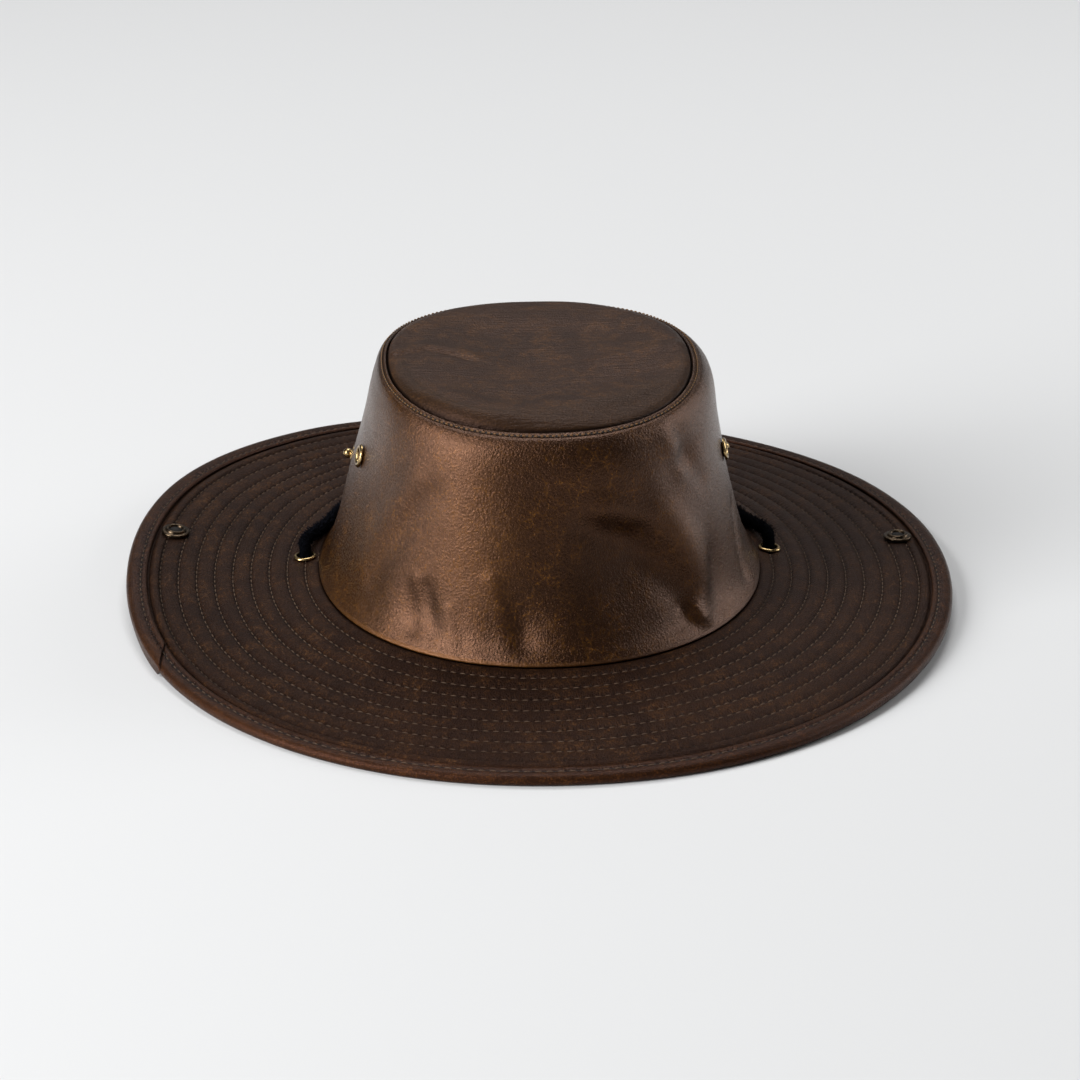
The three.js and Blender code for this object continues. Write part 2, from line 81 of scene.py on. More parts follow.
# The brim's rings of stitching, evenly spread between the crown and the binding
QUILT_RINGS = 9
FIRST_RING = 0.0064
LAST_RING_INSET = 0.0054
RING_PITCH = (BRIM_WIDTH - BINDING_WIDTH - LAST_RING_INSET - FIRST_RING) / (QUILT_RINGS - 1)
RING_OUTS = FIRST_RING + np.arange(QUILT_RINGS) * RING_PITCH
QUILT_RELIEF = 0.0005
QUILT_PUFF = 0.0011
STITCH_PULL = 0.0004

# The join of the binding, where its end lies over its start: degrees round, slant and reach in degrees,
# and the steps in metres up to the end and down into the crack beside it
JOIN_ANGLE = 210.5
JOIN_SLANT = 6.0
JOIN_REACH = 9
JOIN_STEP = 0.0007
JOIN_CRACK = 0.0005

# Where the binding's stitching runs, as a share of its width in from the edge
BINDING_SEAM = 0.68

# Stitches: pitch, length that shows and thread radius of each kind
BRIM_STITCH = {"pitch": 0.004, "length": 0.0031, "radius": 0.00027}
TIP_STITCH = {"pitch": 0.0023, "length": 0.0016, "radius": 0.00026}
FOOT_STITCH = {"pitch": 0.0034, "length": 0.0026, "radius": 0.00024}
BINDING_STITCH = {"pitch": 0.0042, "length": 0.003, "radius": 0.00022}
# The needle holes' discs of painted shade: radius and lift
HOLE_RADIUS = 0.0005
HOLE_LIFT = 0.00006

# The cord, with the length in which its strands go round once, and its knot
CORD_DIAMETER = 0.0044
CORD_SPACING = 0.0008
CORD_SIDES = 20
CORD_STRANDS = 6
CORD_LAY = 0.0135
KNOT_LENGTH = 0.013
KNOT_TURNS = 2.25
KNOT_SIDES = 12

# The loose fibres round the cord
FUZZ_COUNT = 22000
FUZZ_SHORTEST = 0.0006
FUZZ_LONGEST = 0.0019
FUZZ_HALF_WIDTH = 0.0001

# Eyelets and hidden rivets: radii and thickness
VENT_EYELET = {"bore": 0.0025, "rim": 0.00485}
CORD_EYELET = {"bore": 0.003, "rim": 0.0048}
SOCKET_CAP = {"radius": 0.0056, "thickness": 0.0011}
STUD_POST = {"radius": 0.0044, "thickness": 0.0009}
RIVET_RADIUS = 0.0021

# How far round them snaps and cord eyelets flatten the brim's padding
SOCKET_PRESS = 0.0085
EYELET_PRESS = 0.007

# The side panel from the foot to the tip: share of the way along it, of the height, and of the way in
CROWN_PROFILE = [
    {"along": 0, "up": 0, "inward": 0},
    {"along": 0.1, "up": 0.085, "inward": 0.15},
    {"along": 0.22, "up": 0.2, "inward": 0.27},
    {"along": 0.36, "up": 0.34, "inward": 0.38},
    {"along": 0.5, "up": 0.48, "inward": 0.47},
    {"along": 0.64, "up": 0.62, "inward": 0.555},
    {"along": 0.76, "up": 0.74, "inward": 0.63},
    {"along": 0.86, "up": 0.845, "inward": 0.7},
    {"along": 0.93, "up": 0.93, "inward": 0.78},
    {"along": 0.97, "up": 0.98, "inward": 0.88},
    {"along": 1, "up": 1, "inward": 1},
]

# Where the tip's margin lies under the side panel, as shares of the way along the panel
TUCK_STATIONS = [1, 0.985, 0.97, 0.955, 0.94]

# Hollows (below 0) and swells of the side panel: degrees round and share of the way along it,
# spread in degrees and as a share, degrees of lean over its length, and depth as a share of the tip's height
CROWN_DENTS = [
    {"angle": 289, "along": 0.42, "wide": 14, "tall": 0.26, "lean": -14, "depth": -0.05},
    {"angle": 308, "along": 0.45, "wide": 6, "tall": 0.25, "lean": -30, "depth": 0.028},
    {"angle": 318, "along": 0.2, "wide": 5, "tall": 0.16, "lean": 6, "depth": -0.03},
    {"angle": 312, "along": 0.8, "wide": 7, "tall": 0.07, "lean": 40, "depth": -0.022},
    {"angle": 250, "along": 0.55, "wide": 12, "tall": 0.4, "lean": 0, "depth": 0.022},
    {"angle": 238, "along": 0.16, "wide": 5, "tall": 0.13, "lean": 0, "depth": -0.02},
    {"angle": 263, "along": 0.15, "wide": 6, "tall": 0.14, "lean": 10, "depth": -0.016},
    {"angle": 206, "along": 0.4, "wide": 14, "tall": 0.3, "lean": 10, "depth": -0.016},
    {"angle": 120, "along": 0.45, "wide": 16, "tall": 0.25, "lean": 12, "depth": -0.022},
    {"angle": 68, "along": 0.4, "wide": 15, "tall": 0.28, "lean": -16, "depth": -0.026},
    {"angle": 94, "along": 0.5, "wide": 10, "tall": 0.35, "lean": 0, "depth": 0.016},
    {"angle": 178, "along": 0.82, "wide": 42, "tall": 0.26, "lean": 0, "depth": -0.024},
    {"angle": 4, "along": 0.92, "wide": 30, "tall": 0.1, "lean": 0, "depth": 0.012},
]

# Fine folds of the side panel: width and rise in metres, where below 0 is a crease, along points of
# (degrees round, share of the way along the panel)
CROWN_FOLDS = [
    (0.007, 0.0015, [(285, 0.67), (297.5, 0.59), (304.5, 0.41), (311, 0.21), (309, 0.08)]),
    (0.007, -0.0014, [(280, 0.6), (291, 0.52), (298, 0.36), (304, 0.2), (303.5, 0.1)]),
    (0.003, 0.0006, [(236, 0.3), (238.5, 0.16), (240.5, 0.04)]),
    (0.003, -0.0004, [(239, 0.28), (241.5, 0.16), (243, 0.05)]),
    (0.0026, 0.0004, [(246, 0.2), (248.5, 0.03)]),
    (0.0026, -0.0003, [(248.5, 0.2), (250.5, 0.04)]),
    (0.004, 0.0006, [(256, 0.36), (259, 0.2), (260.5, 0.04)]),
    (0.004, -0.0004, [(260, 0.34), (263, 0.18), (264, 0.05)]),
    (0.0028, 0.001, [(307, 0.12), (309.5, 0.03)]),
    (0.0028, -0.001, [(304, 0.16), (306, 0.04)]),
    (0.005, 0.0012, [(305, 0.94), (308, 0.86), (310, 0.76)]),
    (0.005, -0.0009, [(311, 0.9), (314.5, 0.76), (319, 0.66)]),
    (0.006, 0.0007, [(214, 0.25), (222, 0.5), (232, 0.75)]),
    (0.006, -0.0007, [(220, 0.2), (228, 0.45), (238, 0.7)]),
    (0.004, -0.0009, [(335, 0.05), (338, 0.2), (343, 0.36)]),
    (0.004, -0.0008, [(120, 0.06), (117, 0.24), (121, 0.42)]),
    (0.004, 0.0008, [(60, 0.05), (64, 0.2), (62, 0.36)]),
    (0.006, -0.001, [(84, 0.1), (97, 0.32), (112, 0.6)]),
]

# Fine folds of the tip, in the same way along points of metres in plan
TIP_FOLDS = [
    (0.0022, -0.0007, [(-0.06, -0.0015), (-0.046, 0.0078), (-0.028, -0.0025)]),
    (0.0035, 0.0006, [(-0.058, 0.003), (-0.045, 0.0125), (-0.026, 0.003)]),
    (0.004, 0.0007, [(0.024, -0.004), (0.042, 0.003), (0.061, 0.009)]),
    (0.01, -0.0012, [(-0.02, -0.046), (0.012, -0.036), (0.04, -0.022)]),
    (0.008, 0.0009, [(-0.038, -0.044), (-0.014, -0.06)]),
    (0.009, -0.0009, [(-0.02, 0.03), (0.012, 0.036), (0.036, 0.024)]),
]

# Slow unevenness of soft leather: waves per metre, rise in metres, and where its pattern starts
LEATHER_WAVES = [(26, 0.0007, (0, 0, 0)), (60, 0.00025, (3, 1, 7))]

# The share of the way out at which the tip is highest, every 30 degrees, as its front rolls over more to
# the right
CREST_SHARES = [0.88, 0.86, 0.86, 0.86, 0.86, 0.86, 0.86, 0.88, 0.9, 0.82, 0.74, 0.86]

# How the brim lies: the rise of its middle and of its edge over the crown's foot, as shares of its width,
# every 30 degrees from the right by way of the back
BRIM_MIDDLE = [-0.025, -0.038, -0.051, -0.05, -0.01, 0.014, -0.014, -0.06, -0.075, -0.06, -0.034, -0.02]
BRIM_EDGE = [-0.022, -0.042, -0.08, -0.09, 0.02, 0.08, 0.03, -0.064, -0.09, -0.087, -0.081, -0.052]
REST_RISE = min(BRIM_EDGE)

# Where the hardware sits: degrees round, with the distance out from the foot or the share along the panel
SOCKET_OUT = BRIM_WIDTH - BINDING_WIDTH - 0.0077
SOCKET_PLACES = {"left": (167, SOCKET_OUT), "right": (9, SOCKET_OUT)}
CORD_EYELET_PLACES = {"left": (175.4, 0.0068), "right": (4.6, 0.0068)}
STUD_PLACES = {"left": (165, 0.46), "right": (15, 0.46)}
VENT_PLACES = {"left": (193, 0.62), "right": (347, 0.62)}

# The cord's right half, which its left half mirrors: along the brim beside the crown from the back,
# down through the eyelet, and round under the crown on the resting surface to the knot
CORD_ROUTE = [
    (0, 0.1093, 0.0129), (0.0337, 0.1031, 0.0129), (0.062, 0.0847, 0.013), (0.0795, 0.0616, 0.013),
    (0.0898, 0.0359, 0.0131), (0.0981, 0.0137, 0.015), (0.0981, 0.0094, 0.0134), (0.0981, 0.0077, 0.0096),
    (0.0981, 0.0077, 0.0074), (0.0981, 0.0062, 0.0039), (0.0981, 0.0027, 0.0026), (0.0997, -0.0128, 0.0026),
    (0.0952, -0.0405, 0.0026), (0.0814, -0.0682, 0.0026), (0.0595, -0.0873, 0.0026),
    (0.0366, -0.0884, 0.0026), (0.022, -0.0735, 0.0026), (0.0169, -0.0564, 0.0032),
    (0.0114, -0.049, 0.0048), (0.0068, -0.049, 0.0048),
]
KNOT_PLACE = (0, -0.049, 0.0048)

# Heights that follow from the sizes above
BINDING_REACH = TONGUE_THICKNESS / 2 + GAP + BINDING_THICKNESS
FOOT_HEIGHT = BINDING_REACH - REST_RISE * BRIM_WIDTH - REST_PRESS

# How finely the leather pieces go round, and the shares between two rings of stitching
ROUND_STEPS = 540
TIP_STEPS = 360
PUFF_SHARES = np.array([0.04, 0.1, 0.2, 0.34, 0.5, 0.66, 0.8, 0.9, 0.96, 1])

# The camera: how it looks at the hat, from the photograph's own view
VIEW_ELEVATION = 23.0
VIEW_TURN = 2.83
VIEW_DISTANCE = 1.3
VIEW_TARGET = Vector((0.0005, 0, FOOT_HEIGHT + 0.0103))
LENS_MM = 103.33
SENSOR_MM = 36

# Soft light panels that face the hat. Azimuth 0 is in front, 90 at the right.
LIGHTS = [
    {"name": "window", "azimuth": -62, "elevation": 27, "distance": 2.6, "size": (1.1, 2.0), "power": 98},
    {"name": "rim", "azimuth": 106, "elevation": 22, "distance": 1.9, "size": (0.8, 1.2), "power": 12},
    {"name": "backdrop", "azimuth": 178, "elevation": 22, "distance": 1.9, "size": (1.7, 0.9), "power": 1.05},
    {"name": "overhead", "azimuth": 180, "elevation": 62, "distance": 3.0, "size": (1.6, 1.2), "power": 39},
]
LIGHT_TARGET = Vector((0, 0, 0.05))
WORLD_LIGHT = 0.09
FLOOR_HALF = 6
FLOOR_TONE = (0.715, 0.72, 0.725)


def add_object(name, data):
    item = bpy.data.objects.new(name, data)
    bpy.context.scene.collection.objects.link(item)
    return item


def make_camera():
    data = bpy.data.cameras.new("camera")
    data.lens = LENS_MM
    data.sensor_width = SENSOR_MM
    camera = add_object("camera", data)
    elevation = math.radians(VIEW_ELEVATION)
    turn = math.radians(VIEW_TURN)
    forward = Vector((
        math.sin(turn) * math.cos(elevation),
        math.cos(turn) * math.cos(elevation),
        -math.sin(elevation),
    ))
    camera.location = VIEW_TARGET - forward * VIEW_DISTANCE
    camera.rotation_euler = forward.to_track_quat("-Z", "Y").to_euler()
    bpy.context.scene.camera = camera


make_camera()


# Curves and directions
def unit(vectors):
    return vectors / np.linalg.norm(vectors, axis=-1, keepdims=True)


def bell(value, middle, spread):
    """1 at the middle, and less on both sides of it."""
    return np.exp(-(((value - middle) / spread) ** 2))


def cubic(start, end, rise, fall, t):
    """A smooth way from start to end that leaves with the slope rise and arrives with the slope fall."""
    a = 2 * (start - end) + rise + fall
    b = 3 * (end - start) - 2 * rise - fall
    return ((a * t + b) * t + rise) * t + start


def around(values, angle):
    """A value at angles in degrees, from values that go evenly round the full circle."""
    values = np.array(values, float)
    count = len(values)
    place = np.mod(angle, 360) / 360 * count
    i = np.floor(place).astype(int)
    before, start, end, after = (values[(i + k) % count] for k in (-1, 0, 1, 2))
    return cubic(start, end, (end - before) / 2, (after - start) / 2, place - i)


def along_profile(column, along):
    """A column of the side panel's profile at a share of the way along it."""
    places = np.array([row["along"] for row in CROWN_PROFILE], float)
    values = np.array([row[column] for row in CROWN_PROFILE], float)
    last = len(places) - 1
    low = np.maximum(np.arange(last + 1) - 1, 0)
    high = np.minimum(np.arange(last + 1) + 1, last)
    slopes = (values[high] - values[low]) / (places[high] - places[low])
    i = np.clip(np.searchsorted(places, along) - 1, 0, last - 1)
    width = places[i + 1] - places[i]
    t = (along - places[i]) / width
    return cubic(values[i], values[i + 1], width * slopes[i], width * slopes[i + 1], t)


def round_angles(count):
    return np.arange(count) * 360 / count


def turns(count):
    return 2 * np.pi * np.arange(count) / count


def circle(across, over, count):
    """Points of a circle of radius 1 in the plane of two directions, for arrays of directions."""
    turn = turns(count)[:, None]
    return across[..., None, :] * np.cos(turn) + over[..., None, :] * np.sin(turn)


# Shapes of the hat, worked out for whole arrays of angles in degrees
def oval_point(half_width, half_length, squareness, angle):
    c = np.cos(np.radians(angle))
    s = np.sin(np.radians(angle))
    inverse = np.abs(c / half_width) ** squareness + np.abs(s / half_length) ** squareness
    radius = inverse ** (-1 / squareness)
    return np.stack([radius * c, radius * s], axis=-1)


def foot_oval(angle):
    return oval_point(FOOT_HALF_WIDTH, FOOT_HALF_LENGTH, FOOT_SQUARENESS, angle)


def tip_oval(angle):
    return oval_point(TIP_HALF_WIDTH, TIP_HALF_LENGTH, TIP_SQUARENESS, angle)


def foot_normal(angle):
    """The direction out of the crown's foot, square to it in plan."""
    point = foot_oval(angle)
    half = np.array([FOOT_HALF_WIDTH, FOOT_HALF_LENGTH])
    return unit(np.sign(point) * np.abs(point / half) ** (FOOT_SQUARENESS - 1) / half)


def raised(plan, height):
    return np.concatenate([plan, height[..., None]], axis=-1)


def brim_point(angle, out, lift):
    """A point of the brim: distance out from the foot, and lift square to its middle layer."""
    angle, out, lift = np.broadcast_arrays(*(np.asarray(v, float) for v in (angle, out, lift)))
    middle = around(BRIM_MIDDLE, angle) * BRIM_WIDTH
    edge = np.maximum(around(BRIM_EDGE, angle), REST_RISE) * BRIM_WIDTH
    share = np.maximum(out, 0) / BRIM_WIDTH
    bend = 2 * edge - 4 * middle
    start = edge - bend
    slope = np.where(out > 0, (start + 2 * bend * share) / BRIM_WIDTH, 0)
    square = np.hypot(1, slope)
    plan = foot_oval(angle) + foot_normal(angle) * (out - lift * slope / square)[..., None]
    return raised(plan, FOOT_HEIGHT + (start + bend * share) * share + lift / square)


def side_to_end(angle, side, front, back):
    """A value that goes smoothly from the sides to the front and the back."""
    s = np.sin(np.radians(angle))
    return side + (np.where(s > 0, back, front) - side) * s * s


def tip_seam_height(angle):
    return FOOT_HEIGHT + side_to_end(angle, TIP_SIDE_HEIGHT, TIP_FRONT_HEIGHT, TIP_BACK_HEIGHT)


def dent_at(angle, along):
    """How far the side panel is pushed in or out."""
    push = np.zeros(np.broadcast(angle, along).shape)
    for dent in CROWN_DENTS:
        rise = (along - dent["along"]) / dent["tall"]
        lean = dent["lean"] * (along - dent["along"])
        turn = np.mod(angle - dent["angle"] - lean + 540, 360) - 180
        push = push + dent["depth"] * np.exp(-rise * rise - (turn / dent["wide"]) ** 2)
    held = np.minimum(1, 16 * along * (1 - along))
    return push * held * TIP_SIDE_HEIGHT


def plain_crown_point(angle, along):
    """A point of the side panel's outer face, before its dents."""
    foot = foot_oval(angle)
    plan = foot + (tip_oval(angle) - foot) * along_profile("inward", along)[..., None]
    low = brim_point(angle, 0, BRIM_THICKNESS / 2)[..., 2] + GAP + FOLD_THICKNESS
    return raised(plan, low + (tip_seam_height(angle) - low) * along_profile("up", along))


def crown_normal(angle, along):
    step = 0.01
    high = plain_crown_point(angle, np.minimum(along + step, 1))
    low = plain_crown_point(angle, np.maximum(along - step, 0))
    turned = plain_crown_point(angle + 1, along) - plain_crown_point(angle - 1, along)
    return unit(np.cross(turned, high - low))


def crown_point(angle, along, depth=0.0):
    """A point of the side panel, a depth behind its outer face."""
    angle, along = np.broadcast_arrays(np.asarray(angle, float), np.asarray(along, float))
    push = dent_at(angle, along) - depth
    return plain_crown_point(angle, along) + crown_normal(angle, along) * push[..., None]


def tip_height_at(angle, share):
    """The height of the tip's upper face at a share of the way from its middle to its seam."""
    seam = tip_seam_height(angle)
    crest = seam + side_to_end(angle, CREST_SIDE_RISE, CREST_FRONT_RISE, CREST_BACK_RISE)
    crest_share = around(CREST_SHARES, angle)
    dish = FOOT_HEIGHT + TIP_DISH_HEIGHT
    inner = dish + (crest - dish) * (1 - np.cos(np.pi * share / crest_share)) / 2
    start = seam - LEATHER - GAP
    outer = start + (crest - start) * np.sin(np.pi / 2 * (1 - share) / (1 - crest_share))
    return np.where(share < crest_share, inner, outer)


def tip_point(angle, share, depth=0.0):
    angle, share = np.broadcast_arrays(np.asarray(angle, float), np.asarray(share, float))
    return raised(tip_oval(angle) * share[..., None], tip_height_at(angle, share) - depth)


def fold_rise(x, y, folds):
    """How far folds lift a surface, at places in the same units as the points of their lines."""
    rise = np.zeros(np.broadcast(x, y).shape)
    for wide, high, line in folds:
        near = np.full(rise.shape, np.inf)
        for (ax, ay), (bx, by) in zip(line[:-1], line[1:]):
            along = (x - ax) * (bx - ax) + (y - ay) * (by - ay)
            t = np.clip(along / ((bx - ax) ** 2 + (by - ay) ** 2), 0, 1)
            near = np.minimum(near, np.hypot(x - ax - t * (bx - ax), y - ay - t * (by - ay)))
        rise = rise + high * bell(near, 0, wide)
    return rise


def crown_fold_rise(angle, along):
    """The rise of the side panel's folds, with places turned to metres round it and along it."""
    metres = math.radians(1) * (FOOT_HALF_WIDTH + TIP_HALF_LENGTH) / 2
    folds = [
        (wide, high, [(a * metres, b * TIP_SIDE_HEIGHT) for a, b in line]) for wide, high, line in CROWN_FOLDS
    ]
    return fold_rise(np.mod(angle, 360) * metres, along * TIP_SIDE_HEIGHT, folds)


def leather_relief(points):
    """Slow unevenness of soft leather, in metres, for an array of points."""
    flat = [
        sum(noise.noise(Vector(p) * waves + Vector(start)) * high for waves, high, start in LEATHER_WAVES)
        for p in points.reshape(-1, 3).tolist()
    ]
    return np.array(flat).reshape(points.shape[:-1])


# Mesh making
def new_object(name, vertices, faces, smooth=True):
    """A mesh object from points and from faces that may differ in length."""
    mesh = bpy.data.meshes.new(name)
    faces = faces if isinstance(faces, list) else faces.tolist()
    mesh.from_pydata(np.asarray(vertices, float).reshape(-1, 3).tolist(), [], faces)
    mesh.validate()
    mesh.polygons.foreach_set("use_smooth", [smooth] * len(mesh.polygons))
    mesh.update()
    return add_object(name, mesh)


def grid_faces(rows, columns, closed):
    """Quads between closed rows of points, where closed also joins the last row to the first."""
    i = np.arange(rows if closed else rows - 1)[:, None]
    j = np.arange(columns)[None, :]
    i_next = (i + 1) % rows
    j_next = (j + 1) % columns
    corners = [i * columns + j, i * columns + j_next, i_next * columns + j_next, i_next * columns + j]
    return np.stack(corners, axis=-1).reshape(-1, 4)


def ring_object(name, rings, flipped=False):
    """A body from rings of points round the hat, the last joined to the first."""
    grid = np.stack(rings)
    faces = grid_faces(grid.shape[0], grid.shape[1], True)
    if flipped:
        faces = faces[:, [0, 3, 2, 1]]
    return new_object(name, grid, faces)


def tube_object(name, line, radius, lowest):
    """A tube with closed ends along a line, from a radius for each of its points and sides."""
    sides = radius.shape[1]
    _, across, over = line_frames(line)
    grid = line[:, None, :] + circle(across, over, sides) * radius[:, :, None]
    grid[..., 2] = np.maximum(grid[..., 2], lowest)
    first_end = list(range(sides))[::-1]
    last_end = [(len(line) - 1) * sides + k for k in range(sides)]
    return new_object(name, grid, grid_faces(len(line), sides, False).tolist() + [first_end, last_end])


def lay(piece, name, values):
    """Keeps one number for each vertex under a name that materials read."""
    attribute = piece.data.attributes.new(name, "FLOAT", "POINT")
    attribute.data.foreach_set("value", np.asarray(values, np.float32).ravel())


def lay_round(piece, angles, outs):
    """Keeps a place for each vertex whose first two numbers go round the hat and whose third goes out."""
    middle_radius = 0.14
    turn = np.radians(angles)
    grid = np.zeros((len(outs), len(turn), 3))
    grid[..., 0] = np.cos(turn) * middle_radius
    grid[..., 1] = np.sin(turn) * middle_radius
    grid[..., 2] = np.asarray(outs)[:, None]
    attribute = piece.data.attributes.new("lie", "FLOAT_VECTOR", "POINT")
    attribute.data.foreach_set("vector", grid.astype(np.float32).ravel())


def dress(piece, material, slot, *replaced):
    piece.data.materials.clear()
    piece.data.materials.append(material)
    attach(piece, "root")
    if replaced:
        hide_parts(*replaced)
    return piece


# Materials
class Shader:
    """A material whose nodes are made by calls that take values or other nodes' outputs."""

    def __init__(self, name):
        self.material = bpy.data.materials.new(name)
        self.material.use_nodes = True
        self.tree = self.material.node_tree
        self.tree.nodes.clear()
        self.surface = self.tree.nodes.new("ShaderNodeBsdfPrincipled")
        self.node("OutputMaterial", {"Surface": self.surface.outputs["BSDF"]})
        self.place = self.node("TexCoord", {})["Object"]

    def put(self, socket, value):
        """Links an output to a socket or sets the socket's value, where a colour takes three numbers."""
        if isinstance(value, bpy.types.NodeSocket):
            self.tree.links.new(value, socket)
        elif isinstance(socket, bpy.types.NodeSocketColor):
            socket.default_value = (*value, 1)
        else:
            socket.default_value = value

    def node(self, kind, inputs, **settings):
        """The outputs of a new node with the given settings and inputs."""
        node = self.tree.nodes.new("ShaderNode" + kind)
        for name, value in settings.items():
            setattr(node, name, value)
        for key, value in inputs.items():
            self.put(node.inputs[key], value)
        return node.outputs

    def set(self, **values):
        for name, value in values.items():
            self.put(self.surface.inputs[name.replace("_", " ")], value)
        return self.material

    def math(self, operation, a, b, clamp=False):
        return self.node("Math", {0: a, 1: b}, operation=operation, use_clamp=clamp)[0]

    def scaled(self, place, *scale):
        return self.node("Mapping", {"Vector": place, "Scale": scale})[0]

    def warped(self, place, size, reach):
        """The place pushed about by noise, so that cells lose their straight sides."""
        push = self.node("TexNoise", {"Vector": place, "Scale": 1 / size})["Color"]
        return self.node("VectorMath", {0: push, 1: (reach,) * 3, 2: place}, operation="MULTIPLY_ADD")[0]

    def noise(self, size, detail, roughness=0.6, distortion=0.0, place=None):
        """Noise whose patches are about the given size in metres."""
        return self.node("TexNoise", {
            "Vector": place or self.place,
            "Scale": 1 / size,
            "Detail": detail,
            "Roughness": roughness,
            "Distortion": distortion,
        })["Fac"]

    def cells(self, size, feature, place):
        return self.node("TexVoronoi", {"Vector": place, "Scale": 1 / size}, feature=feature)["Distance"]

    def attribute(self, name, output="Fac"):
        return self.node("Attribute", {}, attribute_name=name)[output]

    def ramp(self, value, low, high, start=0.0, end=1.0):
        """A smooth step of a value from low to high."""
        inputs = {"Value": value, "From Min": low, "From Max": high, "To Min": start, "To Max": end}
        return self.node("MapRange", inputs, interpolation_type="SMOOTHSTEP")["Result"]

    def blend(self, share, a, b):
        return self.node("Mix", {"Factor": share, "A": a, "B": b}, data_type="RGBA")["Result"]

    def bump(self, height, distance, strength, **under):
        return self.node("Bump", {"Height": height, "Distance": distance, "Strength": strength, **under})[0]


def leather_material(name, look):
    """Leather with a pebbled grain, worn patches, fine golden crackle, and painted light and painted shade
    from its attributes.
    """
    s = Shader(name)
    upright = s.scaled(s.place, 1, 1, look["streak"])
    crazed = s.warped(upright, 0.004, 0.003)
    speck = s.noise(0.0006, 3, 0.7, 0.2, upright)
    veins = s.cells(0.0042, "DISTANCE_TO_EDGE", crazed)
    pebbles = s.cells(0.0009, "F1", s.warped(upright, 0.001, 0.0002))
    patches = s.noise(0.011, 5, 0.62, 0.8)
    clouds = s.noise(0.05, 3, 0.5)
    wear_and_painted_light = s.attribute("wear_and_painted_light")
    shade = s.attribute("shade")
    # From the ground colour to golden crackle and worn places, whose mask also carries painted light, and to
    # painted shade
    tone = s.blend(s.ramp(clouds, 0.35, 0.65), look["dark"], look["middle"])
    tone = s.blend(s.math("MULTIPLY", s.ramp(patches, 0.42, 0.7), 0.7), tone, look["warm"])
    amount = s.math("ADD", s.ramp(patches, 0.4, 0.68, 0.18, 1.0), wear_and_painted_light)
    dots = s.ramp(speck, look["speck_from"], look["speck_from"] + 0.16)
    lines = s.math("MULTIPLY", s.ramp(veins, 0.0, 0.11, 1.0, 0.0), s.ramp(speck, 0.4, 0.6))
    gold = s.math("MULTIPLY", s.math("ADD", dots, s.math("MULTIPLY", lines, 0.4)), amount, clamp=True)
    tone = s.blend(s.math("MULTIPLY", gold, look["crackle"]), tone, look["light"])
    worn = s.math("MULTIPLY", wear_and_painted_light, s.ramp(speck, 0.3, 0.6, 0.35, 1.0))
    tone = s.blend(s.math("MULTIPLY", worn, 0.85, clamp=True), tone, look["worn"])
    # Painted shade, laid by the shade attribute, darkens the colour
    tone = s.blend(s.math("MULTIPLY", shade, 0.9, clamp=True), tone, look["painted_shade"])
    # Where shade is painted the leather is also a little rougher
    rough = s.ramp(speck, 0.3, 0.7, look["roughness"] + 0.08, look["roughness"] - 0.04)
    rough = s.math("ADD", rough, s.math("MULTIPLY", shade, 0.08), clamp=True)
    normal = s.bump(pebbles, 0.0002, look["grain"])
    normal = s.bump(speck, 0.0004, look["grain"], Normal=normal)
    if look["puckers"]:
        across = s.noise(0.0016, 2, 0.5, place=s.scaled(s.attribute("lie", "Vector"), 1, 1, 0.3))
        puckers = s.math("MULTIPLY", across, s.attribute("pucker"))
        normal = s.bump(puckers, 0.0016, look["puckers"], Normal=normal)
    if look["streaks"]:
        streaks = s.noise(0.0016, 3, 0.6, 0.4, s.scaled(s.place, 0.1, 1, 1))
        normal = s.bump(streaks, 0.0008, look["streaks"], Normal=normal)
    s.set(Base_Color=tone, Roughness=rough, Normal=normal)
    return s.set(Specular_IOR_Level=look["specular"], Specular_Tint=look["gloss"])


def metal_material(name, colour, dark, roughness):
    s = Shader(name)
    scratches = s.noise(0.0005, 3)
    tone = s.blend(s.ramp(s.noise(0.0018, 4), 0.4, 0.7), colour, dark)
    s.set(Base_Color=tone, Roughness=s.ramp(scratches, 0.3, 0.7, roughness - 0.06, roughness + 0.1))
    return s.set(Normal=s.bump(scratches, 0.00005, 0.4), Metallic=1.0)


def thread_material(name, colour, dark):
    s = Shader(name)
    fibres = s.noise(0.0003, 3)
    tone = s.blend(s.ramp(fibres, 0.3, 0.7), dark, colour)
    return s.set(Base_Color=tone, Normal=s.bump(fibres, 0.0001, 0.5), Roughness=0.75)


def cord_material(name, dark, light):
    s = Shader(name)
    fibres = s.noise(0.0009, 4, 0.7)
    tone = s.blend(s.ramp(fibres, 0.4, 0.7), dark, light)
    s.set(Base_Color=tone, Normal=s.bump(fibres, 0.0006, 1.0))
    return s.set(Roughness=0.95, Specular_IOR_Level=0.02)


def plain_material(name, colour):
    return Shader(name).set(Base_Color=colour, Roughness=0.9)


CROWN_LEATHER = leather_material("crown_leather", {
    "dark": (0.0055, 0.0019, 0.0008), "middle": (0.009, 0.0031, 0.0011), "warm": (0.016, 0.0053, 0.0015),
    "light": (0.36, 0.152, 0.026), "worn": (0.18, 0.074, 0.017), "painted_shade": (0.003, 0.0013, 0.0008),
    "crackle": 0.56, "speck_from": 0.56, "streak": 0.8, "puckers": 0, "streaks": 0,
    "roughness": 0.25, "grain": 0.58, "specular": 0.8, "gloss": (1, 0.51, 0.31),
})
TIP_LEATHER = leather_material("tip_leather", {
    "dark": (0.018, 0.0082, 0.0045), "middle": (0.025, 0.0115, 0.0063), "warm": (0.037, 0.0162, 0.0066),
    "light": (0.26, 0.11, 0.027), "worn": (0.18, 0.09, 0.035), "painted_shade": (0.001, 0.0006, 0.0004),
    "crackle": 0.5, "speck_from": 0.53, "streak": 1.0, "puckers": 0, "streaks": 0.6,
    "roughness": 0.36, "grain": 0.4, "specular": 0.22, "gloss": (1, 0.58, 0.44),
})
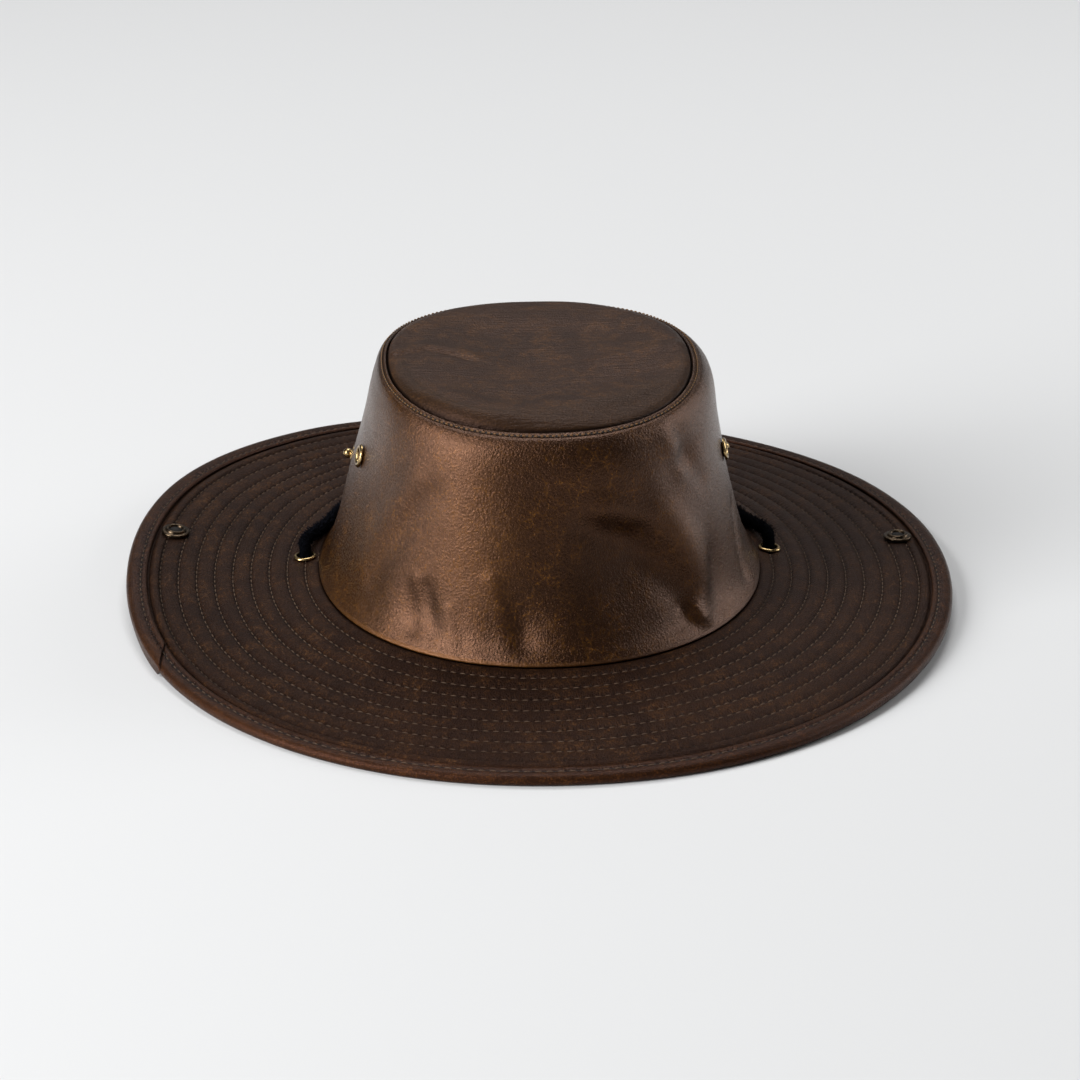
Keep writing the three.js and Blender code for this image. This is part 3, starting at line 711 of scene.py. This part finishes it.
BRIM_LEATHER = leather_material("brim_leather", {
    "dark": (0.0095, 0.0045, 0.0028), "middle": (0.014, 0.0065, 0.0038), "warm": (0.022, 0.0094, 0.0043),
    "light": (0.2, 0.088, 0.028), "worn": (0.14, 0.07, 0.03), "painted_shade": (0.001, 0.0006, 0.0004),
    "crackle": 0.75, "speck_from": 0.56, "streak": 1.0, "puckers": 0.8, "streaks": 0,
    "roughness": 0.38, "grain": 1.0, "specular": 0.17, "gloss": (1, 0.48, 0.34),
})
BINDING_LEATHER = leather_material("binding_leather", {
    "dark": (0.0068, 0.0029, 0.0018), "middle": (0.01, 0.0042, 0.0024), "warm": (0.018, 0.007, 0.003),
    "light": (0.24, 0.09, 0.026), "worn": (0.042, 0.0165, 0.0068), "painted_shade": (0.001, 0.0006, 0.0004),
    "crackle": 0.45, "speck_from": 0.53, "streak": 1.0, "puckers": 0.8, "streaks": 0,
    "roughness": 0.3, "grain": 0.5, "specular": 0.2, "gloss": (1, 0.45, 0.32),
})
ANTIQUE_BRASS = metal_material("antique_brass", (0.085, 0.06, 0.038), (0.022, 0.015, 0.01), 0.3)
BRIGHT_BRASS = metal_material("bright_brass", (0.5, 0.36, 0.17), (0.16, 0.1, 0.045), 0.24)
BEIGE_THREAD = thread_material("beige_thread", (0.14, 0.082, 0.045), (0.05, 0.028, 0.015))
GOLDEN_THREAD = thread_material("golden_thread", (0.24, 0.115, 0.03), (0.08, 0.036, 0.011))
BLACK_CORD = cord_material("black_cord", (0.0008, 0.0009, 0.0014), (0.003, 0.0033, 0.005))
CORD_FUZZ = cord_material("cord_fuzz", (0.002, 0.0022, 0.0035), (0.011, 0.012, 0.018))
# Painted shade of the needle holes and of the snaps' wells
HOLE_SHADE = plain_material("hole_shade", (0.004, 0.0025, 0.0018))


# The chin cord: its curve, its fuzz and its knot
def spline_points(points, steps):
    """Points along a centripetal Catmull-Rom curve through the given ones."""
    p = np.array(points, float)
    p = np.concatenate([[2 * p[0] - p[1]], p, [2 * p[-1] - p[-2]]])
    t = (np.arange(steps) / steps)[:, None]
    out = []
    for k in range(1, len(p) - 2):
        a, b, c, d = p[k - 1:k + 3]
        ta, tb, tc = (math.sqrt(np.linalg.norm(v)) for v in (b - a, c - b, d - c))
        rise = ((b - a) / ta - (c - a) / (ta + tb) + (c - b) / tb) * tb
        fall = ((c - b) / tb - (d - b) / (tb + tc) + (d - c) / tc) * tb
        out.append(cubic(b, c, rise, fall, t))
    return np.concatenate([*out, [p[-2]]])


def reach_along(points):
    """The distance from a line's start to each of its points."""
    return np.concatenate([[0], np.cumsum(np.linalg.norm(np.diff(points, axis=0), axis=1))])


def even_points(points, spacing):
    """The same line, with its points an even distance apart."""
    reach = reach_along(points)
    count = max(int(round(reach[-1] / spacing)), 1)
    at = np.linspace(0, reach[-1], count + 1)
    return np.stack([np.interp(at, reach, points[:, k]) for k in range(3)], axis=-1)


def line_frames(points):
    """A line's own direction and two square to it at each of its points, turning as little as they can."""
    tangents = unit(np.gradient(points, axis=0))
    side = unit(np.cross(tangents[0], [0.1, 0.2, 1]))
    sides = []
    for tangent in tangents:
        side = unit(side - tangent * np.dot(side, tangent))
        sides.append(side)
    sides = np.array(sides)
    return tangents, sides, np.cross(tangents, sides)


def make_cord():
    left = [(-x, y, z) for x, y, z in CORD_ROUTE[:0:-1]]
    route = even_points(spline_points(left + CORD_ROUTE, 12), CORD_SPACING)
    # Two families of strands cross each other, which gives a braid's bumps
    turn = turns(CORD_SIDES)[None, :]
    twist = 2 * np.pi * np.arange(len(route))[:, None] * CORD_SPACING / CORD_LAY
    one_way, other_way = (
        np.abs(np.sin(CORD_STRANDS / 2 * phase)) for phase in (turn + twist, turn - twist + 0.5)
    )
    radius = CORD_DIAMETER / 2 * (0.96 + 0.2 * np.maximum(one_way, other_way))
    piece = tube_object("chin_cord_braid", route, radius, 0)
    return dress(piece, BLACK_CORD, "black_cord", "chin_cord"), route


def make_fuzz(route):
    """Short loose fibres that stand out of the cord, each a bent strip that ends in a point."""
    random = np.random.default_rng(7)
    tangents, across, over = line_frames(route)
    at = random.integers(2, len(route) - 2, FUZZ_COUNT)
    turn = random.uniform(0, 2 * np.pi, FUZZ_COUNT)
    outward = np.cos(turn)[:, None] * across[at] + np.sin(turn)[:, None] * over[at]
    root = route[at] + outward * CORD_DIAMETER * 0.5
    drift = unit(random.normal(0, 1, (FUZZ_COUNT, 3)))
    reach = random.uniform(FUZZ_SHORTEST, FUZZ_LONGEST, FUZZ_COUNT)[:, None]
    tip = root + outward * reach * 0.75 + drift * reach * 0.6
    middle = (root + tip) / 2 + outward * reach * 0.18
    wide = unit(np.cross(outward, tangents[at] + drift * 0.4)) * FUZZ_HALF_WIDTH
    corners = [root - wide, root + wide, middle + wide, middle - wide, tip]
    vertices = np.stack(corners, axis=1)
    vertices[..., 2] = np.maximum(vertices[..., 2], 0)
    first = np.arange(FUZZ_COUNT)[:, None] * len(corners)
    strips = (first + np.array([[0, 1, 2, 3]])).tolist()
    ends = (first + np.array([[3, 2, 4]])).tolist()
    piece = new_object("chin_cord_fuzz", vertices, strips + ends, smooth=False)
    return dress(piece, CORD_FUZZ, "black_cord")


def make_knot():
    """A plain overhand knot: a little over two turns of the cord round its own run."""
    turn = np.linspace(0, 2 * np.pi * KNOT_TURNS, 90)
    share = turn / turn[-1]
    radius = 0.0026 + 0.0004 * np.sin(np.pi * share)
    x = (share - 0.5) * (KNOT_LENGTH - 0.0036)
    line = np.stack([x, radius * np.cos(turn), radius * np.sin(turn)], axis=-1)
    end = np.array([KNOT_LENGTH / 2, 0, 0])
    line = even_points(np.concatenate([[-end], line, [end]]) + np.array(KNOT_PLACE), 0.0006)
    radius = np.full((len(line), KNOT_SIDES), CORD_DIAMETER * 0.42)
    piece = tube_object("cord_knot_turns", line, radius, 0.0002)
    return dress(piece, BLACK_CORD, "black_cord", "cord_knot")


cord, cord_line = make_cord()
cord_length = np.linalg.norm(np.diff(cord_line, axis=0), axis=1).sum()
cord_fuzz = make_fuzz(cord_line)
cord_knot = make_knot()
tuple(cord_line[0])
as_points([tuple(p) for p in cord_line[::6]] + [tuple(cord_line[-1])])


# The leather pieces
def make_crown_side():
    angles = round_angles(ROUND_STEPS)
    near_foot = [0, 0.006, 0.012, 0.02, 0.03]
    stations = np.concatenate([near_foot, np.linspace(0.04, 0.93, 90), np.linspace(0.94, 1, 12)])
    inner_stations = np.concatenate([TUCK_STATIONS, np.linspace(0.9, 0.08, 42)])
    outer = crown_point(angles[None, :], stations[:, None])
    normals = crown_normal(angles[None, :], stations[:, None])
    held = np.clip(np.minimum(stations * 14, (1 - stations) * 7), 0, 1)[:, None]
    relief = (leather_relief(outer) + crown_fold_rise(angles[None, :], stations[:, None])) * held
    # The stitching pulls the leather in just below the tip's seam
    pull = 0.00035 * bell(stations, 0.984, 0.008)[:, None]
    outer = outer + normals * (relief - pull)[..., None]
    # The inner face follows the outer one, but lies plain on the tip's margin
    follow = np.stack([np.interp(inner_stations, stations, column) for column in relief.T], axis=1)
    follow[:len(TUCK_STATIONS)] = 0
    inner = crown_point(angles[None, :], inner_stations[:, None], LEATHER)
    inner = inner + crown_normal(angles[None, :], inner_stations[:, None]) * follow[..., None]

    def on_fold(out, lift):
        ring = brim_point(angles, out, BRIM_THICKNESS / 2)
        ring[:, 2] += GAP + lift
        return ring

    seat = [on_fold(-FOLD_WIDTH, 0), on_fold(-0.002, 0), on_fold(0, 0.0001)]
    edge = [on_fold(0.0006, 0.0005), on_fold(0.0006, 0.0011)]
    rings = seat + edge + list(outer) + list(inner) + [on_fold(-FOLD_WIDTH, FOLD_THICKNESS)]
    piece = ring_object("crown_side_leather", rings)
    # Ridges are worn light; painted light and painted shade are laid as well
    first = len(seat) + len(edge)
    face = slice(first, first + len(stations))
    rim = slice(len(seat), first + 1)
    form = dent_at(angles[None, :], stations[:, None]) + 0.6 * relief
    worn_and_lit_sides = 0.16 * bell(angles, 210, 22) + 0.1 * bell(angles, 330, 18)
    lit_front_left = bell(angles, 240, 38)
    wear_and_painted_light = np.zeros((len(rings), ROUND_STEPS))
    # Gold on the left front, where the window falls, and on the right front: partly wear, partly painted
    # light
    wear_and_painted_light[face] = np.clip(form / 0.009, 0, 0.3) + worn_and_lit_sides
    # The fold's edge: worn and painted light on the left front, painted shade round the rest
    wear_and_painted_light[rim] = 0.7 * lit_front_left
    shade = np.zeros_like(wear_and_painted_light)
    # Painted shade on the seat under the fold, in the hollows and in the band below the tip's seam
    shade[:len(seat)] = 1
    shade[face] = np.clip(-form / 0.01, 0, 0.5) + 0.3 * bell(stations, 0.95, 0.05)[:, None]
    shade[rim] = 0.7 * (1 - lit_front_left)
    lay(piece, "wear_and_painted_light", wear_and_painted_light)
    lay(piece, "shade", shade)
    return dress(piece, CROWN_LEATHER, "crown_leather", "crown_side")


def make_crown_tip():
    angles = round_angles(TIP_STEPS)
    shares = np.concatenate([np.linspace(0.03, 0.86, 48), np.linspace(0.875, 0.976, 12)])
    under_shares = np.array([0.92, 0.8, 0.6, 0.4, 0.2])
    top = tip_point(angles[None, :], shares[:, None])
    under = tip_point(angles[None, :], under_shares[:, None], LEATHER)
    relief = leather_relief(top) * 0.8 + fold_rise(top[..., 0], top[..., 1], TIP_FOLDS)
    top[..., 2] += relief * np.clip((1 - shares) * 12, 0, 1)[:, None]
    # The margin comes up nearly flush with the side panel, beside a narrow groove
    top[..., 2] += (TIP_FLUSH * np.clip((shares - 0.87) / 0.08, 0, 1))[:, None]
    rings = list(top)
    for share, drop in [(0.981, 0.0001), (0.9835, 0.0006), (0.984, 0.0013)]:
        ring = tip_point(angles, share)
        ring[:, 2] = tip_seam_height(angles) - drop
        rings.append(ring)
    rings += [crown_point(angles, station, LEATHER + GAP) for station in TUCK_STATIONS]
    rings += [crown_point(angles, station, 2 * LEATHER + GAP) for station in TUCK_STATIONS[::-1]]
    rings += list(under)
    # One more point closes the middle of each face
    vertices = np.concatenate([*rings, [top[0].mean(0)], [under[-1].mean(0)]])
    middle = len(rings) * TIP_STEPS
    last = middle - TIP_STEPS
    faces = grid_faces(len(rings), TIP_STEPS, False).tolist()
    for k in range(TIP_STEPS):
        after = (k + 1) % TIP_STEPS
        faces.append([middle, after, k])
        faces.append([middle + 1, last + k, last + after])
    piece = new_object("crown_tip_leather", vertices, [face[::-1] for face in faces])
    # Painted shade darkens the front's roll, which is also more crackled, and fills the hidden margin and the
    # under face
    front = np.clip(-np.sin(np.radians(angles)) * 1.6, 0, 1)
    crest = around(CREST_SHARES, angles)
    rolled = (np.clip((shares[:, None] - crest[None, :] + 0.07) / 0.12, 0, 1) * front).ravel()
    shade = np.ones(len(vertices))
    shade[middle] = 0
    shade[:len(rolled)] = 0.7 * rolled
    wear_and_painted_light = np.zeros(len(vertices))
    wear_and_painted_light[:len(rolled)] = 0.22 * rolled
    lay(piece, "shade", shade)
    lay(piece, "wear_and_painted_light", wear_and_painted_light)
    return dress(piece, TIP_LEATHER, "tip_leather", "crown_tip")


def pressed_by_hardware(angles, out):
    """How far snaps and eyelets flatten the padding round them, from 0 to 1."""
    pressed = np.zeros(len(angles))
    for places, radius in ((SOCKET_PLACES, SOCKET_PRESS), (CORD_EYELET_PLACES, EYELET_PRESS)):
        for angle, middle in places.values():
            away = np.linalg.norm(brim_point(angles, out, 0) - brim_point(angle, middle, 0), axis=-1)
            pressed = np.maximum(pressed, np.exp(-((away / radius) ** 4)))
    return pressed


def make_brim():
    angles = round_angles(ROUND_STEPS)
    half = BRIM_THICKNESS / 2
    tongue = TONGUE_THICKNESS / 2
    # The padding between two rings of stitching is steep at its sides and full in its middle
    puff = (QUILT_PUFF + STITCH_PULL) * (1 - np.abs(2 * PUFF_SHARES - 1) ** 2.4)
    seam_end = BRIM_WIDTH - BINDING_WIDTH - 3 * GAP
    outs = [0.0]
    lifts = [half - STITCH_PULL]
    for start, end in zip([0, *RING_OUTS], [*RING_OUTS, seam_end]):
        outs += list(start + (end - start) * PUFF_SHARES)
        lifts += list(half + (puff - STITCH_PULL))
    tongue_start = BRIM_WIDTH - BINDING_WIDTH - GAP
    tongue_end = BRIM_WIDTH - BINDING_THICKNESS - GAP
    rows = [(-FOLD_WIDTH, half), (-0.003, half), *zip(outs, lifts)]
    rows += [(tongue_start, tongue), (tongue_end, tongue), (tongue_end, -tongue), (tongue_start, -tongue)]
    rows += [(out, -half) for out in outs[::-4]] + [(-0.003, -half), (-FOLD_WIDTH, -half)]
    rings = []
    for out, lift in rows:
        rise = lift - np.maximum(lift - half, 0) * pressed_by_hardware(angles, out)
        rings.append(brim_point(angles, out, rise))
    piece = ring_object("brim_leather_quilt", rings, flipped=True)
    near = np.array([np.min(np.abs(RING_OUTS - out)) for out, _ in rows])
    upper = np.array([lift > 0 for _, lift in rows])
    under_crown = np.array([out < 0.0008 for out, _ in rows])
    # Painted shade under the crown's fold and along each ring of stitching
    shade = np.where(upper, np.where(under_crown, 0.9, 0.8 * bell(near, 0, 0.0007)), 0)
    lay(piece, "shade", np.repeat(shade, ROUND_STEPS))
    lay(piece, "pucker", np.repeat(bell(near, 0, 0.0016), ROUND_STEPS))
    lay(piece, "wear_and_painted_light", np.zeros(len(rows) * ROUND_STEPS))
    lay_round(piece, angles, [out for out, _ in rows])
    return dress(piece, BRIM_LEATHER, "brim_leather", "brim")


def make_binding():
    """The tape round the brim's edge, whose end overlaps its start at the left front."""
    inside = (TONGUE_THICKNESS / 2 + GAP) / BINDING_REACH
    turn_in = BINDING_THICKNESS / BINDING_WIDTH
    # Each row: share of the width in from the edge, lift as a share of the reach, wear and painted shade
    section = [
        (1, inside, 0.2, 1), (1.02, 0.8, 0.3, 0.6), (0.98, 1.06, 0.7, 0), (0.92, 1.16, 0.8, 0),
        (0.84, 1.14, 0.5, 0), (0.77, 0.98, 0.1, 0.1), (0.72, 0.82, 0, 0.6), (0.68, 0.78, 0, 0.8),
        (0.64, 0.84, 0, 0.4), (0.57, 1.02, 0, 0), (0.47, 1.14, 0.1, 0), (0.36, 1.17, 0.25, 0),
        (0.24, 1.1, 0.45, 0), (0.13, 0.92, 0.6, 0), (0.05, 0.64, 0.7, 0), (0, 0.26, 0.7, 0),
        (0, -0.2, 0.5, 0), (0.05, -0.6, 0.3, 0), (0.13, -0.9, 0.1, 0), (0.26, -1, 0, 0), (0.6, -1, 0, 0),
        (1, -1, 0.2, 0), (1, -inside, 0, 1), (0.5, -inside, 0, 1), (turn_in, -inside, 0, 1),
        (turn_in, inside, 0, 1), (0.5, inside, 0, 1),
    ]
    near_join = JOIN_ANGLE + np.array([-1.2, -0.8, -0.5, -0.25, -0.1, 0, 0.1, 0.25, 0.5, 0.9, 1.4])
    angles = np.unique(np.concatenate([round_angles(ROUND_STEPS), near_join]))
    by_join = bell(angles, JOIN_ANGLE, JOIN_REACH)
    overlap = np.where(angles < JOIN_ANGLE, by_join, 0)
    crack = bell(angles, JOIN_ANGLE + 0.12, 0.2)
    rings, wear_and_painted_light, shade = [], [], []
    for share, lift, worn, dark in section:
        outside = abs(lift) > inside + 0.01
        extra = (JOIN_STEP * overlap - JOIN_CRACK * crack) * outside
        slant = JOIN_SLANT * (0.5 - share) * by_join
        out = BRIM_WIDTH - share * BINDING_WIDTH + (share < 0.1) * extra
        ring = brim_point(angles + slant, out, lift * BINDING_REACH + np.sign(lift) * extra)
        ring[:, 2] = np.maximum(ring[:, 2], 0)
        rings.append(ring)
        # Gold on the outer roll at the left front, where the window falls: partly wear, partly painted light
        worn_and_lit_left_front = 0.75 * worn * bell(angles, 226, 24)
        wear_and_painted_light.append(worn * 0.6 + worn_and_lit_left_front + 0.25 * overlap * (share < 0.9) * outside)
        # Painted shade in the stitch groove, along the brim, in the join's crack and on the hidden rows
        shade.append(np.maximum(dark, crack * outside))
    piece = ring_object("brim_binding_tape", rings, flipped=True)
    shares = np.array([row[0] for row in section])
    lay(piece, "wear_and_painted_light", wear_and_painted_light)
    lay(piece, "shade", shade)
    lay(piece, "pucker", np.repeat(bell(shares, BINDING_SEAM, 0.14), len(angles)))
    lay_round(piece, angles, BRIM_WIDTH - shares * BINDING_WIDTH)
    return dress(piece, BINDING_LEATHER, "binding_leather", "brim_binding")


make_crown_side()
make_crown_tip()
make_brim()
make_binding()


# Stitches, on surfaces that give points and the directions out of them by angle
def on_brim(out, lift, side=1, step=0.5):
    def surface(angle):
        across = brim_point(angle, out + 0.001, lift) - brim_point(angle, out - 0.001, lift)
        turned = brim_point(angle + step, out, lift) - brim_point(angle - step, out, lift)
        return brim_point(angle, out, lift), unit(np.cross(across, turned)) * side
    return surface


def on_crown(along):
    def surface(angle):
        stations = np.full(np.shape(angle), along)
        return crown_point(angle, stations), crown_normal(angle, stations)
    return surface


def stitch_line(surface, kind):
    """Start and end angles of the stitches of one ring."""
    angles = np.linspace(0, 360, 3601)
    reach = reach_along(surface(angles)[0])
    count = int(round(reach[-1] / kind["pitch"]))
    starts = np.arange(count) * reach[-1] / count
    return np.interp(starts, reach, angles), np.interp(starts + kind["length"], reach, angles)


def stitch_mesh(surface, kind, sides, steps):
    """Vertices and faces of a ring of stitches that dive into the leather at both ends, and its holes."""
    start, end = stitch_line(surface, kind)
    shares = np.linspace(0, 1, steps)
    points, normals = surface(start[:, None] + (end - start)[:, None] * shares[None, :])
    arch = np.sin(np.pi * shares) ** 0.5
    points = points + normals * (kind["radius"] * (-1.3 + 2.0 * arch))[None, :, None]
    tangents = unit(np.gradient(points, axis=1))
    across = unit(np.cross(tangents, normals))
    over = np.cross(across, tangents)
    thin = (0.6 + 0.4 * arch)[None, :, None, None]
    grid = points[:, :, None, :] + circle(across, over, sides) * kind["radius"] * thin
    grid[..., 2] = np.maximum(grid[..., 2], 0)
    first = np.arange(len(start))[:, None, None] * steps * sides
    faces = grid_faces(steps, sides, False)[None, :, :] + first
    return grid.reshape(-1, 3), faces.reshape(-1, 4), [surface(start), surface(end)]


def make_seam(name, lines, sides, steps, material, slot, holes=True):
    """Rings of stitches as one piece, from pairs of a surface and a kind of stitch."""
    vertices, faces, spots = [], [], []
    first = 0
    for surface, kind in lines:
        points, quads, ends = stitch_mesh(surface, kind, sides, steps)
        vertices.append(points)
        faces.append(quads + first)
        spots += ends
        first += len(points)
    dress(new_object(name, np.concatenate(vertices), np.concatenate(faces)), material, slot)
    if holes:
        make_holes(name + "_holes", spots, slot)


def make_holes(name, spots, slot):
    """Needle holes, as small discs of painted shade on the leather."""
    corners = 6
    points = np.concatenate([spot[0] for spot in spots])
    normals = np.concatenate([spot[1] for spot in spots])
    across = unit(np.cross(normals, [0, 0.3, 1.0]) + 1e-9)
    ring = circle(across, np.cross(normals, across), corners)
    grid = points[:, None, :] + ring * HOLE_RADIUS + normals[:, None, :] * HOLE_LIFT
    faces = np.arange(len(points) * corners).reshape(-1, corners)
    dress(new_object(name, grid, faces), HOLE_SHADE, slot)


def make_stitches():
    half = BRIM_THICKNESS / 2
    upper = [(on_brim(out, half - STITCH_PULL), BRIM_STITCH) for out in RING_OUTS]
    under = [(on_brim(out, -half, -1), BRIM_STITCH) for out in RING_OUTS]
    foot = [(on_brim(0.0011, half), FOOT_STITCH)]
    tip = [(on_crown(0.986), TIP_STITCH)]
    bound = on_brim(BRIM_WIDTH - BINDING_WIDTH * BINDING_SEAM, BINDING_REACH * 0.8)
    make_seam("brim_stitches", upper, 6, 6, BEIGE_THREAD, "brim_leather")
    make_seam("brim_stitches_under", under, 5, 4, BEIGE_THREAD, "brim_leather", holes=False)
    make_seam("foot_stitches", foot, 6, 6, BEIGE_THREAD, "crown_leather", holes=False)
    make_seam("tip_stitches", tip, 6, 6, GOLDEN_THREAD, "crown_leather")
    make_seam("binding_stitches", [(bound, BINDING_STITCH)], 6, 6, BEIGE_THREAD, "binding_leather")


make_stitches()


# Snaps and eyelets, turned from outlines of (radius, height over the leather)
def turned_object(name, outline, place, normal, facets=48):
    """A body turned from a closed outline, set on a place with its axis along normal."""
    turn = turns(facets)
    grid = np.stack([
        np.stack([r * np.cos(turn), r * np.sin(turn), np.full(facets, h)], axis=-1) for r, h in outline
    ])
    piece = new_object(name, grid, grid_faces(len(outline), facets, True))
    turned = Vector((0, 0, 1)).rotation_difference(Vector(normal)).to_matrix().to_4x4()
    piece.data.transform(Matrix.Translation(Vector(place)) @ turned)
    clean_mesh(piece)
    return piece


def clean_mesh(piece):
    """Joins the points that lie on the axis, and turns all faces out."""
    bm = bmesh.new()
    bm.from_mesh(piece.data)
    bmesh.ops.remove_doubles(bm, verts=bm.verts, dist=1e-6)
    bmesh.ops.dissolve_degenerate(bm, edges=bm.edges, dist=1e-7)
    bmesh.ops.recalc_face_normals(bm, faces=bm.faces)
    bm.to_mesh(piece.data)
    bm.free()
    piece.data.polygons.foreach_set("use_smooth", [True] * len(piece.data.polygons))


def arc(radius, height, size, start, end, steps):
    """Points of an arc in an outline, from its middle, its radius, and degrees."""
    turn = np.radians(np.linspace(start, end, steps))
    return [(radius + size * math.cos(t), height + size * math.sin(t)) for t in turn]


def brim_seat(angle, out):
    return on_brim(out, BRIM_THICKNESS / 2 + QUILT_RELIEF, step=1)(angle)


def crown_seat(angle, along):
    up = crown_point(angle, along + 0.04) - crown_point(angle, along - 0.04)
    turned = crown_point(angle + 3, along) - crown_point(angle - 3, along)
    return crown_point(angle, along), unit(np.cross(turned, up))


def make_brass(node, outline, seat, material, slot):
    """A turned piece in place of the plain one."""
    dress(turned_object(node + "_brass", outline, *seat), material, slot, node)


def make_eyelet(node, seat, kind, through):
    """An eyelet with a rolled rim in front and a flatter one behind."""
    bore = kind["bore"]
    roll = (kind["rim"] - bore) / 2
    front = SEAT_GAP * 0.4
    back = -through - SEAT_GAP
    outline = arc(bore + roll, front, roll, 0, 180, 13) + [(bore, back - 0.0004)]
    outline += arc(bore + roll * 0.8, back, roll * 0.8, 180, 360, 9)
    outline += [(bore + 0.0006, back + 0.0001), (bore + 0.0006, front)]
    make_brass(node, outline, seat, BRIGHT_BRASS, "bright_brass")


def make_socket(node, seat):
    """A snap's socket: a domed ring round a well of painted shade."""
    low = SEAT_GAP * 0.3
    outline = [(0.0023, low), (0.0059, low)] + arc(0.0054, low + 0.0006, 0.0006, -60, 80, 6)
    outline += [(0.0049, low + 0.0013), (0.0046, low + 0.00125)]
    outline += arc(0.0036, low + 0.0013, 0.0009, 20, 160, 8)
    outline += [(0.0025, low + 0.0011), (0.0023, low + 0.0007)]
    make_brass(node, outline, seat, ANTIQUE_BRASS, "antique_brass")
    shade_well = [(0, 0.0001), (0.0028, 0.0001), (0.0028, 0.0015), (0, 0.0015)]
    dress(turned_object(node + "_well", shade_well, *seat, facets=24), HOLE_SHADE, "antique_brass")


def make_stud(node, seat):
    """A snap's ball stud on its flange."""
    low = SEAT_GAP * 0.3
    flange = [(0, low), (0.0039, low), (0.0039, low + 0.0003), (0.0035, low + 0.0006), (0.0017, low + 0.0008)]
    outline = flange + arc(0, low + 0.0022, 0.0021, -42, 70, 12) + [(0, low + 0.0043)]
    make_brass(node, outline, seat, BRIGHT_BRASS, "bright_brass")


def make_rivet(node, seat, kind, through):
    """A smooth cap behind the leather, with its rivet."""
    radius = kind["radius"]
    thick = kind["thickness"]
    face = -through - SEAT_GAP * 0.5
    outline = [(0, face - thick), (radius * 0.6, face - thick * 0.94), (radius * 0.88, face - thick * 0.7)]
    outline += [(radius, face - thick * 0.3), (radius, face), (RIVET_RADIUS, face), (RIVET_RADIUS, 0), (0, 0)]
    make_brass(node, outline, seat, ANTIQUE_BRASS, "antique_brass")


brim_through = BRIM_THICKNESS + QUILT_RELIEF
for side, place in SOCKET_PLACES.items():
    make_socket(f"snap_socket_{side}", brim_seat(*place))
    make_rivet(f"snap_cap_{side}", brim_seat(*place), SOCKET_CAP, brim_through)
for side, place in STUD_PLACES.items():
    make_stud(f"snap_stud_{side}", crown_seat(*place))
    make_rivet(f"snap_post_{side}", crown_seat(*place), STUD_POST, LEATHER)
for side, place in VENT_PLACES.items():
    make_eyelet(f"vent_eyelet_{side}", crown_seat(*place), VENT_EYELET, LEATHER)
for side, place in CORD_EYELET_PLACES.items():
    make_eyelet(f"cord_eyelet_{side}", brim_seat(*place), CORD_EYELET, brim_through)


# The floor and the light
def make_floor():
    size = FLOOR_HALF
    corners = [(-size, -size, 0), (size, -size, 0), (size, size, 0), (-size, size, 0)]
    floor = new_object("floor", corners, [[0, 1, 2, 3]], smooth=False)
    floor.data.materials.append(plain_material("floor_paper", FLOOR_TONE))


def make_light(name, azimuth, elevation, distance, size, power):
    data = bpy.data.lights.new(name, "AREA")
    data.shape = "RECTANGLE"
    data.size, data.size_y = size
    data.energy = power
    light = add_object(name, data)
    a, e = math.radians(azimuth), math.radians(elevation)
    towards = Vector((math.sin(a) * math.cos(e), -math.cos(a) * math.cos(e), math.sin(e)))
    light.location = towards * distance + LIGHT_TARGET
    light.rotation_euler = (-towards).to_track_quat("-Z", "Y").to_euler()


def make_world():
    world = bpy.data.worlds.new("studio")
    world.use_nodes = True
    background = world.node_tree.nodes["Background"]
    background.inputs["Color"].default_value = (1, 1, 1, 1)
    background.inputs["Strength"].default_value = WORLD_LIGHT
    bpy.context.scene.world = world


make_floor()
make_world()
for light in LIGHTS:
    make_light(**light)
bpy.context.scene.view_settings.view_transform = "Standard"
